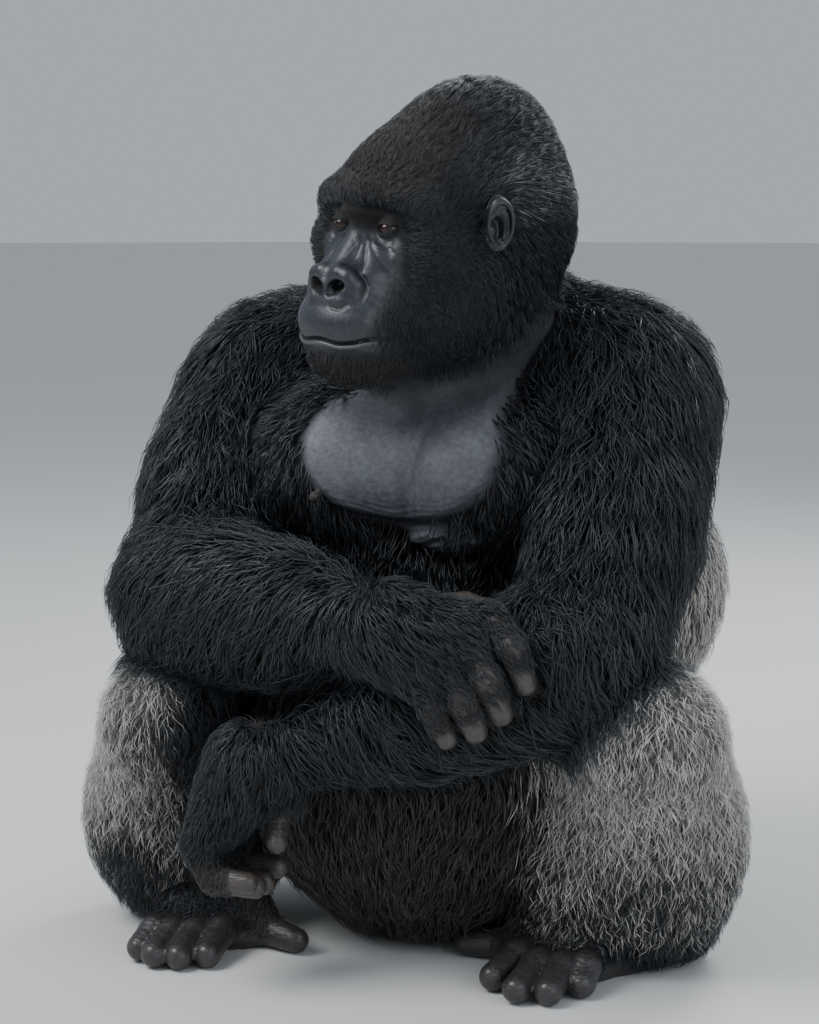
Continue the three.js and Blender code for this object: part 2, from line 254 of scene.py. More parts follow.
def skull(q):
    """Brain case, crest, forehead, nape, cheeks and throat, in the head's frame."""
    forms = [ball(q, (0, 26, 40), (101, 130, 98)), ball(q, (0, 64, 100), (80, 116, 87)),
             ball(q, (0, -44, 58), (84, 75, 50)), ball(q, (0, 106, 10), (106, 102, 120))]
    forms += [ball(q, (s * 60, -26, -68), (54, 78, 78)) for s in (1, -1)]
    forms += [ball(q, (0, -60, -95), (78, 90, 75))]
    return blend(45.0, *forms)


def face(q):
    """Brow, cheekbones, muzzle, nose, lips and chin, in the head's frame."""
    forms = [taper(q, (s * 67, -101, 35), (0, -130, 41), 25, 24) for s in (1, -1)]
    forms += [ball(q, (s * 67, -88, -14), (37, 42, 44)) for s in (1, -1)]
    forms += [ball(q, (0, -122, -95), (66, 64, 60)), ball(q, (0, -140, -98), (62, 48, 30)),
              taper(q, (0, -114, 14), (0, -157, -43), 15, 17)]
    forms += [ball(q, (s * 17, -163, -58), (19, 21, 20)) for s in (1, -1)]
    forms += [ball(q, (0, -134, -128), (58, 50, 30)), ball(q, (0, -120, -142), (58, 60, 38))]
    forms += [taper(q, (s * 19, -116, -4), (s * 30, -134, -46), 15, 19) for s in (1, -1)]
    return blend(18.0, *forms)


# %% Lids and nose
LID_THICKNESS = 2.4
OPENING_HALF_WIDTH, OPENING_SLANT = 12.0, 0.08
UPPER_LID, LOWER_LID = 4.4, 3.8  # how far each lid stands from the middle of the eye


def lids(q, s):
    """A round cover over the eyeball, less an almond between two parabolas, one above and one below."""
    x = (q[0] - s * EYE[0]) * s
    y, z = q[1] - EYE[1], q[2] - EYE[2]
    cover = np.sqrt(x * x + y * y + z * z) - (EYE_RADIUS + LID_THICKNESS)
    across = 1.0 - np.clip(x / OPENING_HALF_WIDTH, -1, 1) ** 2
    slanted = z - OPENING_SLANT * x
    over = slanted - UPPER_LID * across
    under = -LOWER_LID * across - slanted
    opening = np.maximum(np.maximum(over, under), y + 4.0)
    return np.maximum(cover, -opening)


def nose_pads(q, s):
    """The thick rolled rim round one nostril: a string of tapers from the bridge out, down and in."""
    rim = []
    for (xa, ya, za, wide_a), (xb, yb, zb, wide_b) in zip(WING, WING[1:]):
        rim.append(taper(q, (s * xa, ya, za), (s * xb, yb, zb), wide_a, wide_b))
    return blend(4.0, *rim)


# %% Folds and wrinkles of the face
def fan_folds(q):
    """Creases that fan out from the inner corners of the eyes: a sharpened sine of the angle."""
    out, down = np.abs(q[0]) - 16.0, 2.0 - q[2]
    reach = np.sqrt(out * out + down * down)
    angle = np.arctan2(out, down)
    window = smooth(6, 16, reach) * smooth(72, 44, reach)
    window = window * smooth(-0.5, -0.2, angle) * smooth(1.25, 0.85, angle)
    crease = np.abs(np.sin(angle * 9.0 + 0.25 * np.sin(reach * 0.09))) ** 0.55
    return window * (0.9 - 1.5 * crease) * smooth(-85, -105, q[1])


def lid_folds(q):
    """Bags under the eyes: rings about each eye, below it only."""
    x, z = np.abs(q[0]) - EYE[0], q[2] - EYE[2]
    reach = np.sqrt((x * 0.85) ** 2 + z * z)
    ring = 1.0 - 2.0 * np.abs(np.sin(reach * 0.55 + 0.3)) ** 0.7
    return smooth(12, 15, reach) * smooth(34, 26, reach) * smooth(2, -5, z) * ring


def muzzle_lines(q):
    """Fine upright wrinkles on the upper lip and slanting ones beside the nose."""
    aside = np.abs(q[0])
    lip = smooth(-84, -92, q[2]) * smooth(-114, -110, q[2]) * smooth(60, 40, aside)
    upright = np.sin(aside * 0.95 + 1.2 * np.sin(q[2] * 0.12))
    beside = smooth(40, 48, aside) * smooth(-40, -55, q[2]) * smooth(-112, -100, q[2])
    slant = np.sin((q[2] + 0.8 * aside) * 0.75)
    return (0.08 * lip * upright + 0.2 * beside * slant) * smooth(-100, -125, q[1])


def lip_line(q):
    """How high the mouth lies at each place across: lowest half way to the corners, which turn up."""
    aside = np.abs(q[0])
    return -115.5 - 3.5 * np.exp(-((aside - 26.0) / 14.0) ** 2) + 4.0 * smooth(40, 58, aside)


# %% Ears
def ear(q, s, fine):
    """A leaf of gristle with a rolled rim, an inner ridge and a bowl, standing off the head."""
    turn = np.array(Euler(np.radians((12.0, s * 12.0, -s * 20.0)), "XYZ").to_matrix())
    place = EAR_AT * (s, 1, 1)
    if not fine:
        return ball(q, place, (11, 20, 33), turn)
    r = turn.T @ (q - place[:, None])
    x, y, z = r[0] * s, r[1], r[2]
    narrow = 1.0 - 0.22 * smooth(-5, -30, z)
    ring = np.sqrt((y / (17.5 * narrow)) ** 2 + (z / 31.0) ** 2) + 1e-6
    leaf = ball(r, (0, 0, 0), (6.5, 18.5, 32))
    rim = np.sqrt(((ring - 0.92) * 18.0) ** 2 + (x - 5.0) ** 2) - 3.4
    ridge = taper(r, (s * 5.5, 6, 12), (s * 5.5, 3, -17), 2.6, 2.8)
    fork = taper(r, (s * 5.0, 6, 4), (s * 4.5, -6, 17), 2.4, 2.2)
    flap = ball(r, (s * 6.5, -12, -6), (3.4, 3.8, 6.5))
    bowl = ball(r, (s * 5.0, -4.5, -4), (9, 7.0, 13.5))
    groove = ball(r, (s * 6.5, 11.0, 4), (5.5, 3.6, 18))
    leaf = carve(2.0, carve(2.5, leaf, bowl), groove)
    return blend(2.2, leaf, rim, carve(1.5, blend(2.0, ridge, fork), bowl), flap)


# %% The whole head
def head_form(q, fine):
    """Skull, face, sockets and ears; with fine, also lids, nostrils, lips and folds."""
    whole = blend(30.0, skull(q), face(q))
    for s in (1, -1):
        whole = carve(9.0, whole, ball(q, (s * 36, -147, 11), (27, 26, 18)))
    if fine:
        whole = whole + 1.1 * fan_folds(q) + 0.2 * lid_folds(q) + muzzle_lines(q)
        for s in (1, -1):
            pads = nose_pads(q, s)
            beside = smooth(6, 16, s * q[0]) * smooth(-36, -46, q[2])
            groove = beside * np.exp(-((pads - 2.5) / 2.8) ** 2)
            whole = blend(6.0, whole + 2.6 * groove, pads)
            whole = blend(3.0, whole, lids(q, s))
            tilt = np.array(Euler((0.2, -s * 0.45, s * 0.35)).to_matrix())
            whole = carve(3.5, whole, ball(q, (s * 15.5, -184, -58), (11.5, 22, 7.2), tilt))
            whole = carve(2.5, whole, ball(q, (s * 8.5, -187, -65), (4.0, 14, 3.4), tilt))
        septum = taper(q, (0, -173, -46), (0, -177, -76), 5, 4.5)
        whole = blend(5.0, whole, septum)
        height = q[2] - lip_line(q)
        across = smooth(62, 50, np.abs(q[0])) * smooth(-118, -135, q[1])
        whole = whole - 1.3 * across * np.exp(-((height + 4.6) / 3.0) ** 2)
        whole = whole + 5.0 * across * np.exp(-(height / 1.7) ** 2)
    for s in (1, -1):
        whole = np.minimum(whole, ear(q, s, fine))
    return whole


# %% [markdown]
# ## Trunk, arms and legs
# The rest of the body is drawn the same way. Every limb is a chain of tapers with muscle balls on
# them. Arms melt into the trunk only near the shoulder, and legs only near the hip, because a
# forearm that merely rests on the belly is not grown to it.

# %% Breast folds
BREAST_MIDDLE = 28.0


def cleft_x(p):
    """Where the cleft between the two halves of the breast lies: a line that slants with height."""
    return BREAST_MIDDLE + 34.0 * (p[2] - 530.0) / 145.0


def breast_edge(p):
    """Height of the breast's lower edge: a shallow parabola."""
    return 533.0 + 0.0026 * (p[0] - BREAST_MIDDLE) ** 2


def breast_forms(p):
    """What is added to the distance: two swells, the cleft, the crease below, wrinkles and nipples."""
    aside = np.abs(p[0] - BREAST_MIDDLE)
    front = smooth(-20, -60, p[1]) * smooth(175, 140, aside)
    side = np.abs(p[0] - cleft_x(p))
    above = p[2] - breast_edge(p)
    swell = -5.0 * np.exp(-((side - 52.0) / 40.0) ** 2 - ((above - 48.0) / 46.0) ** 2)
    cleft = 3.6 * np.exp(-(side / 8.5) ** 2) * smooth(-14, 10, above) * smooth(150, 90, above)
    crease = 6.0 * np.exp(-((above + 3.0) / 5.0) ** 2) * smooth(120, 85, aside)
    belly_fold = 3.0 * np.exp(-((above + 30.0 + 4.0 * np.sin(p[0] / 17.0)) / 5.0) ** 2)
    belly_fold = belly_fold * smooth(110, 70, np.abs(p[0] - 60))
    lines = 0.5 * np.sin(above * 0.85 + 2.4 * np.sin(p[0] / 13.0 + above / 19.0))
    lines = lines * smooth(36, 8, above) * smooth(-48, -36, above)
    return front * (swell + cleft + crease + belly_fold + lines)


NIPPLES = [(-71, -166, 561), (126, -90, 444)]


# %% Trunk and neck
def trunk(p):
    """Rump and belly, ribs and back, and the two halves of the breast."""
    lower = blend(90.0, ball(p, (5, 235, 155), (255, 205, 172)),
                  ball(p, (12, 10, 236), (248, 236, 240)))
    upper = blend(80.0, ball(p, (8, 140, 440), (290, 240, 270)), ball(p, (18, 232, 410), (318, 205, 230)),
                  ball(p, (5, 225, 560), (240, 150, 250)),
                  taper(p, (-185, 108, 664), (185, 100, 668), 118, 122),
                  taper(p, (38, 130, 765), (198, 125, 690), 88, 82),
                  taper(p, (-22, 130, 765), (-182, 125, 690), 88, 82))
    breast = blend(35.0, ball(p, (-76, -50, 586), (124, 118, 104)),
                   ball(p, (96, -48, 588), (128, 116, 106)))
    return blend(60.0, blend(90.0, lower, upper), breast)


def trunk_skin(p, fine):
    """The trunk's form and coat depth, with the folds and nipples of the bare breast if fine."""
    whole = trunk(p) + trunk_depth(p)
    if fine:
        whole = whole + breast_forms(p)
        for place in NIPPLES:
            whole = blend(7.0, whole, ball(p, place, (7.0, 6.5, 7.0)))
    return whole


def neck(p):
    """Two bars from the shoulders into the back and the throat of the head."""
    nape = from_head((0, 62, -50))[:, 0]
    throat = from_head((0, -20, -95))[:, 0]
    return blend(60.0, taper(p, (10, 120, 720), nape, 150, 96), taper(p, (20, 30, 700), throat, 110, 70))


# %% Arms with their hands
def upper_arm(p, side):
    """Shoulder to elbow, with the shoulder muscle and the arm's own."""
    shoulder, elbow = at("shoulder", side), at("elbow", side)
    return blend(50.0, taper(p, shoulder, elbow, 108, 91),
                 ball(p, mix(shoulder, elbow, 0.2), (110, 120, 130)),
                 ball(p, mix(shoulder, elbow, 0.55), (110, 116, 124)))


def forearm(p, side):
    """Elbow to wrist, fullest near the elbow."""
    elbow, wrist = at("elbow", side), at("wrist", side)
    wide, slim = FOREARM_RADII[side]
    return blend(40.0, taper(p, elbow, wrist, wide, slim),
                 taper(p, mix(elbow, wrist, 0.15), mix(elbow, wrist, 0.5), wide, wide - 8))


def hand(p, side):
    """A fan of bars from the wrist to the four knuckles."""
    return blend(26.0, *[taper(p, at("wrist", side), knuckle, 44, 26) for knuckle in KNUCKLES[side]])


def fingers(p, side):
    """The nearest finger or thumb: two bars each, slimmer towards the tip."""
    forms = []
    for (knuckle, middle, tip), radius in zip(finger_joints(side), FINGER_RADII):
        forms.append(blend(5.0, taper(p, knuckle, middle, radius + 1, radius),
                           taper(p, middle, tip, radius, radius - 2)))
    root, bend, tip = THUMB[side]
    forms.append(blend(6.0, taper(p, root, bend, 17, 15.5), taper(p, bend, tip, 15.5, 13.5)))
    return np.minimum.reduce(forms)


# %% Legs with their feet
def thigh(p, side):
    """Hip to knee, with the big muscle at mid length."""
    hip, knee = at("hip", side), at("knee", side)
    return blend(60.0, taper(p, hip, knee, 130, 78), ball(p, mix(hip, knee, 0.5), (116, 126, 126)))


CALF = {
    "left": [((280, -40, 168), (126, 106, 124)), ((233, -35, 92), (104, 88, 66))],
    "right": [((-296, -60, 166), (112, 104, 116)), ((-284, -55, 96), (106, 88, 72))],
}


def shin(p, side):
    """Knee to ankle, with the folded leg's flesh bulging down over the foot."""
    high, low = CALF[side]
    shaft = taper(p, at("knee", side), at("ankle", side), 92, 58)
    return blend(110.0, shaft, ball(p, *high), ball(p, *low))


def foot(p, side):
    """Heel, two sides of the sole and the instep."""
    heel, outer, inner, ankle = [at(n, side) for n in ("heel", "outer", "inner", "ankle")]
    return blend(30.0, taper(p, heel, outer, 42, 38), taper(p, heel, inner, 42, 34),
                 taper(p, ankle, mix(heel, outer, 0.6), 48, 40), taper(p, outer, inner, 38, 34))


def toes(p, side):
    """Four arched toes and the great toe, which stands apart, joined only where they touch."""
    forms = []
    for root, arch, tip in toe_joints(side):
        forms.append(blend(6.0, taper(p, root, arch, 18.0, 18.5), taper(p, arch, tip, 18.0, 17.0)))
    forms.append(taper(p, at("inner", side), at("great", side), 24, 16))
    return blend(3.0, *forms)


# %% [markdown]
# ## How deep the coat is
# The CAD solids end at the tips of the hair. The skin lies deeper, by the depth of the coat at each
# place: less than a millimetre on the bare face, breast, fingers and toes, and 24 millimetres on
# the arms. Adding that depth to the distance moves the surface inwards.

# %% Coat depth by part and place
BARE = 0.4
NECK_DEPTH = 13.6
DEPTH = {"upper_arm": 24.0, "forearm": 23.0, "hand": 8.0, "fingers": 0.5,
         "thigh": 17.0, "shin": 15.0, "foot": 3.5, "toes": 0.5}
PRESSED = {"thigh": 0.4, "shin": 0.3, "foot": 0.15}  # the share that is left at the floor


def bare_face(q):
    """1 on the bare mask of the face, 0 where hair is, in the head's frame."""
    front = smooth(-78, -100, q[1] + 0.25 * np.abs(q[0]) - 6)
    below_brow = smooth(35, 27, q[2] + 0.14 * np.abs(q[0]))
    inside = smooth(66, 50, np.abs(q[0]) + 0.22 * np.maximum(q[2] + 20, 0))
    above_chin = smooth(-136, -122, q[2])
    return front * below_brow * inside * above_chin


def bare_ear(q):
    """1 on the ears."""
    return smooth(1.5, -2.0, ball_pair(q, EAR_AT, (18, 21, 34)))


def bare_breast(p):
    """1 on the bare breast, up the left side of the throat and on the fold below, 0 in the hair."""
    pads = ball(p, (28, -130, 618), (122, 160, 92))
    strip = taper(p, (70, -110, 665), (152, -4, 775), 60, 27)
    fold = ball(p, (74, -120, 510), (50, 80, 17))
    return smooth(9.0, -13.0, blend(20.0, pads, strip, fold)) * smooth(40, 10, p[1])


def near_floor(p):
    """0 at the floor and 1 well above it: hair that is sat on is pressed flat."""
    return smooth(FLOOR + 2, FLOOR + 50, p[2])


def head_depth(q):
    """Short on the brow, longer over the crown, nape and jaw, nothing on the mask and ears."""
    beard = 5.0 * smooth(-90, -140, q[2]) * smooth(-110, -60, q[1])
    depth = 5.0 + 7.0 * smooth(-70, 30, q[1]) + beard
    return BARE + depth * (1 - bare_face(q)) * (1 - bare_ear(q))


def trunk_depth(p):
    """Two centimetres on the back, less on the belly and rump, nothing on the breast."""
    depth = mix(12.0, 21.0, smooth(-40, 120, p[1]))
    depth = depth * mix(0.35, 1.0, near_floor(p))
    return BARE + depth * (1 - bare_breast(p))


def limb_depth(kind, p):
    """The depth of the coat on a part of a limb; a leg's grows thinner towards the floor."""
    if kind in PRESSED:
        return DEPTH[kind] * mix(PRESSED[kind], 1.0, near_floor(p))
    return DEPTH[kind]


# %% All parts as one table of distances
FAR = 400.0


def only_near(p, places, reach, form):
    """form(p) inside the box around the places, widened by reach, and FAR everywhere else."""
    places = np.array(places, p.dtype).reshape(-1, 3)
    low, high = places.min(0) - reach, places.max(0) + reach
    inside = ((p > low[:, None]) & (p < high[:, None])).all(0)
    found = np.full(p.shape[1], FAR, p.dtype)
    if inside.any():
        found[inside] = form(p[:, inside])
    return found


def head_skin(p, fine):
    """The head's form and coat depth, worked out in its own frame."""
    q = in_head(p)
    return head_form(q, fine) + head_depth(q)


def neck_skin(p):
    """The neck's form and coat depth, which is nothing on the bare throat."""
    return neck(p) + BARE + NECK_DEPTH * (1 - bare_breast(p))


def limbs(p, fine=False):
    """Every part's skin, as a table of signed distances: the coat's form plus the coat's depth."""
    parts = {"head": only_near(p, HEAD_AT, 290, lambda p: head_skin(p, fine)),
             "neck": only_near(p, [(20, 60, 780)], 330, neck_skin),
             "trunk": only_near(p, [(5, 180, 380)], 450, lambda p: trunk_skin(p, fine))}
    for side in SIDES:
        shoulder, elbow, wrist, hip, knee, ankle, heel, inner, great = [
            at(joint, side) for joint in
            ("shoulder", "elbow", "wrist", "hip", "knee", "ankle", "heel", "inner", "great")]
        digits = [*KNUCKLES[side], *THUMB[side]]
        sole = [heel, inner, great, *TOE_TIPS[side]]
        calf = [place for place, _ in CALF[side]]
        forms = {"upper_arm": (upper_arm, [shoulder, elbow], 190),
                 "forearm": (forearm, [elbow, wrist], 160),
                 "hand": (hand, [wrist, *digits], 110),
                 "fingers": (fingers, digits, 120),
                 "thigh": (thigh, [hip, knee], 200),
                 "shin": (shin, [knee, ankle, *calf], 170),
                 "foot": (foot, [ankle, *sole], 100),
                 "toes": (toes, sole, 60)}
        for kind, (form, places, reach) in forms.items():
            parts[f"{kind}_{side}"] = only_near(
                p, places, reach, lambda p: form(p, side) + limb_depth(kind, p))
    return parts


def near(p, place, reach):
    """1 at the place, falling to 0 at reach."""
    return smooth(reach, 0.35 * reach, lengths(p - np.asarray(place, p.dtype).reshape(3, 1)))


# %% All parts joined into one skin
def skin_distance(p, fine=False):
    """The one skin: soft joins from part to part, and plain contact where a limb only rests."""
    m = limbs(p, fine)
    body = blend(40.0, m["trunk"], m["neck"])
    body = blend(26.0, body, m["head"])
    for side in SIDES:
        arm = blend(30.0, m["upper_arm_" + side], m["forearm_" + side])
        body = blend(55.0 * near(p, at("shoulder", side), 260.0) + 0.5, body, arm)
        wrist = blend(22.0, m["forearm_" + side], m["hand_" + side])
        body = np.minimum(body, blend(7.0, wrist, m["fingers_" + side]))
        body = blend(60.0 * near(p, at("hip", side), 230.0) + 0.5, body, m["thigh_" + side])
        leg = blend(12.0, m["thigh_" + side], m["shin_" + side])
        leg = blend(20.0, leg, m["foot_" + side])
        body = np.minimum(body, blend(7.0, leg, m["toes_" + side]))
    return np.maximum(body, FLOOR + BARE - p[2])


# %% [markdown]
# ## From a formula to a mesh
# Marching cubes would do it, and so would Blender's voxel remesh. A *surface net* is shorter and
# gives rounder triangles: one point for every little cube that the surface crosses, at the mean of
# the crossings on its edges, and one four-sided face for every edge that it crosses.

# %% Surface net
def faces_of(*corners):
    """Faces from one array of point numbers for each corner."""
    return np.stack(corners, 1)


def surface_net(inside, value, axes):
    """Points (3, n) and faces (m, 4) where value changes sign on a grid with uneven axes."""
    strides = np.array([inside.shape[1] * inside.shape[2], inside.shape[2], 1])
    flat = value.ravel()
    rings, crossings = [], []
    for axis in range(3):
        one, two = [slice(None)] * 3, [slice(None)] * 3
        one[axis], two[axis] = slice(None, -1), slice(1, None)
        spot = np.stack(np.nonzero(inside[tuple(one)] != inside[tuple(two)]))
        spot = spot[:, (spot > 0).all(0)]
        index = strides @ spot
        a, b = flat[index], flat[index + strides[axis]]
        crossing = spot.astype(float)
        crossing[axis] += a / (a - b)
        u, v = strides[(axis + 1) % 3], strides[(axis + 2) % 3]
        ring = faces_of(index, index - u, index - u - v, index - v)
        outward = inside.ravel()[index]
        ring[~outward] = ring[~outward][:, ::-1]
        rings.append(ring)
        crossings.append(np.repeat(crossing[:, :, None], 4, 2))
    rings, crossings = np.concatenate(rings), np.concatenate(crossings, 1)
    _, number = np.unique(rings, return_inverse=True)
    number = number.reshape(rings.shape)
    count = np.bincount(number.ravel())
    points = np.stack([np.bincount(number.ravel(), row.ravel()) for row in crossings]) / count
    return np.stack([np.interp(row, np.arange(len(a)), a) for row, a in zip(points, axes)]), number


# %% Slope of the distance, and working in batches
def slope(p, distance, reach=0.6):
    """The unit direction in which the distance grows: four samples at the corners of a tetrahedron."""
    total = np.zeros_like(p)
    for corner in ((1, -1, -1), (-1, -1, 1), (-1, 1, -1), (1, 1, 1)):
        step = np.array(corner, p.dtype)[:, None]
        total += step * distance(p + step * reach)
    return total / np.maximum(lengths(total), 1e-9), lengths(total) / (4 * reach)


BATCH = 60000


def batches(function, p):
    """What function gives for BATCH places at a time, which keeps the working arrays small."""
    return [function(p[:, i:i + BATCH]) for i in range(0, p.shape[1], BATCH)]


def in_batches(function, p):
    """The batches of function(p) put together again."""
    return np.concatenate(batches(function, p), -1)


def fine_distance(p):
    """The skin with all its small forms."""
    return skin_distance(p, fine=True)


# %% The grid, exact near the surface and rough away from it
STEP = 4.6
FINE_STEP = 2.3
COARSE = 4  # one place in four, along each axis, says where the surface can be
MARGIN = 12.0
LOW = np.array(CAD_BOX[0]) / MM - SHIFT - MARGIN
HIGH = np.array(CAD_BOX[1]) / MM - SHIFT + MARGIN
FACE_LOW, FACE_HIGH = (-62.0, -268.0, 716.0), (186.0, -84.0, 930.0)


def uneven(low, fine_low, fine_high, high):
    """Grid places along one axis: STEP apart, and FINE_STEP apart across the face."""
    return np.concatenate([np.arange(low, fine_low, STEP), np.arange(fine_low, fine_high, FINE_STEP),
                           np.arange(fine_high, high + STEP, STEP)])


# %% The net of the whole body
axes = [uneven(*ends) for ends in zip(LOW, FACE_LOW, FACE_HIGH, HIGH)]
rough_axes = [axis[COARSE // 2::COARSE] for axis in axes]
rough = np.stack(np.meshgrid(*rough_axes, indexing="ij")).reshape(3, -1).astype(np.float32)
rough_value = in_batches(skin_distance, rough).reshape([len(a) for a in rough_axes])
nearest = [np.minimum(np.arange(len(a)) // COARSE, len(r) - 1) for a, r in zip(axes, rough_axes)]
value = rough_value[np.ix_(*nearest)]
close = np.nonzero(np.abs(value) < STEP * COARSE * 0.9 + 4)
grid = np.stack([axes[a][close[a]] for a in range(3)]).astype(np.float32)
value[close] = in_batches(fine_distance, grid)
points, quads = surface_net(value < 0, value, axes)
told(f"grid {value.shape}, {grid.shape[1]} exact values, {points.shape[1]} points, {len(quads)} faces")


# %% Loose shells are left out
def largest_shell(points, quads):
    """Spreads the smallest point number over each shell until nothing changes, and keeps the biggest."""
    label = np.arange(points.shape[1])
    while True:
        least = label[quads].min(1)
        fresh = label.copy()
        for corner in range(4):
            np.minimum.at(fresh, quads[:, corner], least)
        fresh = fresh[fresh]
        if (fresh == label).all():
            break
        label = fresh
    best = np.bincount(label).argmax()
    quads = quads[label[quads[:, 0]] == best]
    used = np.unique(quads)
    number = np.full(points.shape[1], -1)
    number[used] = np.arange(len(used))
    return points[:, used], number[quads]


points, quads = largest_shell(points, quads)
told(f"one shell: {points.shape[1]} points, {len(quads)} faces")


# %% Putting a mesh into Blender
def make_mesh(name, points, faces, smooth_faces=True):
    """points (3, n) in table millimetres and faces (m, 3 or 4) become an object at the origin."""
    mesh = bpy.data.meshes.new(name)
    corners = faces.shape[1]
    mesh.vertices.add(points.shape[1])
    mesh.vertices.foreach_set("co", ((points + SHIFT[:, None]) * MM).T.astype(np.float32).ravel())
    mesh.loops.add(faces.size)
    mesh.loops.foreach_set("vertex_index", faces.astype(np.int32).ravel())
    mesh.polygons.add(len(faces))
    mesh.polygons.foreach_set("loop_start", np.arange(0, faces.size, corners, dtype=np.int32))
    mesh.polygons.foreach_set("use_smooth", np.full(len(faces), smooth_faces))
    mesh.update()
    mesh.validate()
    piece = bpy.data.objects.new(name, mesh)
    bpy.context.scene.collection.objects.link(piece)
    return piece


def add_value(piece, name, values):
    """A number for each vertex that a material can read."""
    attribute = piece.data.attributes.new(name, "FLOAT", "POINT")
    attribute.data.foreach_set("value", np.asarray(values, np.float32))


# %% [markdown]
# ## Finer where it is bare
# Under the coat a coarse net is enough. The face, breast, hands and feet are bare, so there each
# long edge is cut in two and the new points are pressed onto the full formula, which has the lids,
# nostrils and folds. A triangle with one, two or three cut edges becomes two, three or four.

# %% Splitting long edges
COAT_EDGE = 17.0
UNDER_COAT = 24000  # about this many triangles are left under the coat


def wanted_edge(p):
    """The longest edge allowed at each place, in millimetres."""
    q = in_head(p)
    size = np.full(p.shape[1], COAT_EDGE)
    in_face = (q[1] < -88) & (np.abs(q[0]) < 62) & (q[2] > -150) & (q[2] < 40)
    size[in_face] = 5.0
    centre = (q[1] < -112) & (np.abs(q[0]) < 52) & (q[2] > -126) & (q[2] < 20)
    size[centre] = 3.3
    nose = centre & (q[1] < -138) & (np.abs(q[0]) < 42) & (q[2] < -28)
    size[nose] = 2.3
    size[ball_pair(q, EYE, (19, 30, 13)) < 0] = 1.5
    size[ball_pair(q, EAR_AT, (20, 25, 38)) < 0] = 2.4
    breast = bare_breast(p) > 0.2
    size[breast] = np.minimum(size[breast], 8.0)
    for side in SIDES:
        size[fingers(p, side) < 4] = 7.0
        size[toes(p, side) < 4] = 7.0
    return size


def split_edges(points, triangles, wanted):
    """Cuts every edge that is longer than wanted at its middle and makes 2 to 4 triangles of each."""
    ends = np.sort(triangles[:, [[0, 1], [1, 2], [2, 0]]].reshape(-1, 2), 1)
    key = ends[:, 0] * points.shape[1] + ends[:, 1]
    key, back = np.unique(key, return_inverse=True)
    a, b = key // points.shape[1], key % points.shape[1]
    middle = (points[:, a] + points[:, b]) / 2
    cut = lengths(points[:, a] - points[:, b]) > wanted(middle)
    number = np.full(len(key), -1)
    number[cut] = points.shape[1] + np.arange(cut.sum())
    points = np.concatenate([points, middle[:, cut]], 1)
    mid = number[back].reshape(-1, 3)
    cuts = (mid >= 0).sum(1)
    made = [triangles[cuts == 0]]
    for first in range(3):
        order = [first, (first + 1) % 3, (first + 2) % 3]
        one = (cuts == 1) & (mid[:, first] >= 0)
        (a, b, c), (ab, _, _) = triangles[one][:, order].T, mid[one][:, order].T
        made += [faces_of(a, ab, c), faces_of(ab, b, c)]
        two = (cuts == 2) & (mid[:, order[2]] < 0)
        (a, b, c), (ab, bc, _) = triangles[two][:, order].T, mid[two][:, order].T
        made += [faces_of(ab, b, bc), faces_of(a, ab, bc), faces_of(a, bc, c)]
    (a, b, c), (ab, bc, ca) = triangles[cuts == 3].T, mid[cuts == 3].T
    made += [faces_of(a, ab, ca), faces_of(ab, b, bc), faces_of(ca, bc, c), faces_of(ab, bc, ca)]
    return points, np.concatenate(made)


# %% Pressing, smoothing and thinning
def pressed(points, distance, rounds=3, most=3.0):
    """Newton's step, repeated: p - d n / |slope|, never farther than most at once."""
    def step(p):
        """One such step."""
        n, steep = slope(p, distance)
        return p - n * np.clip(distance(p) / np.maximum(steep, 0.3), -most, most)

    for _ in range(rounds):
        points = in_batches(step, points)
    return points


def relaxed(points, triangles, share=0.4):
    """Each point moves part of the way to the mean of its neighbours."""
    total = np.zeros_like(points)
    count = np.zeros(points.shape[1])
    for a, b in ((0, 1), (1, 2), (2, 0), (1, 0), (2, 1), (0, 2)):
        for row in range(3):
            total[row] += np.bincount(triangles[:, a], points[row, triangles[:, b]], points.shape[1])
        count += np.bincount(triangles[:, a], minlength=points.shape[1])
    return mix(points, total / count, share)


def thinned(points, quads, under_coat):
    """Decimate leaves about under_coat triangles under the coat, and leaves alone what has weight 0."""
    draft = make_mesh("draft", points, quads)
    group = draft.vertex_groups.new(name="coarse")
    coarse = wanted_edge(points) == COAT_EDGE
    group.add(np.flatnonzero(coarse).tolist(), 1.0, "REPLACE")
    decimate = draft.modifiers.new("thinner", "DECIMATE")
    kept = np.sum(~coarse[quads].all(1))
    decimate.ratio = (kept + under_coat / 2) / len(quads)
    decimate.vertex_group = "coarse"
    seen = draft.evaluated_get(bpy.context.evaluated_depsgraph_get()).to_mesh()
    points = np.zeros(len(seen.vertices) * 3, np.float32)
    seen.vertices.foreach_get("co", points)
    seen.calc_loop_triangles()
    triangles = np.zeros(len(seen.loop_triangles) * 3, np.int32)
    seen.loop_triangles.foreach_get("vertices", triangles)
    bpy.data.objects.remove(draft)
    return points.reshape(-1, 3).T / MM - SHIFT[:, None], triangles.reshape(-1, 3).astype(np.int64)


# %% The finished skin
points, triangles = thinned(points, quads, UNDER_COAT)
told(f"thinned to {points.shape[1]} points, {len(triangles)} triangles")
for turn in range(2):
    points, triangles = split_edges(points, triangles, wanted_edge)
    points = pressed(relaxed(points, triangles, 0.3), fine_distance, 2)
told(f"skin: {points.shape[1]} points, {len(triangles)} triangles")

skin = make_mesh("skin", points, triangles)
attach(skin, "root")
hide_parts(*[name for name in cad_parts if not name.startswith("eye_")])

# %% [markdown]
# ## Where the markings are
# A silverback is black with a silver saddle and silver thighs, a brown tint over the brow and a bare
# breast. Skin and hair must agree, so both ask the same functions of place. A painted map would
# need an unwrap with seams, while a function of place needs none.

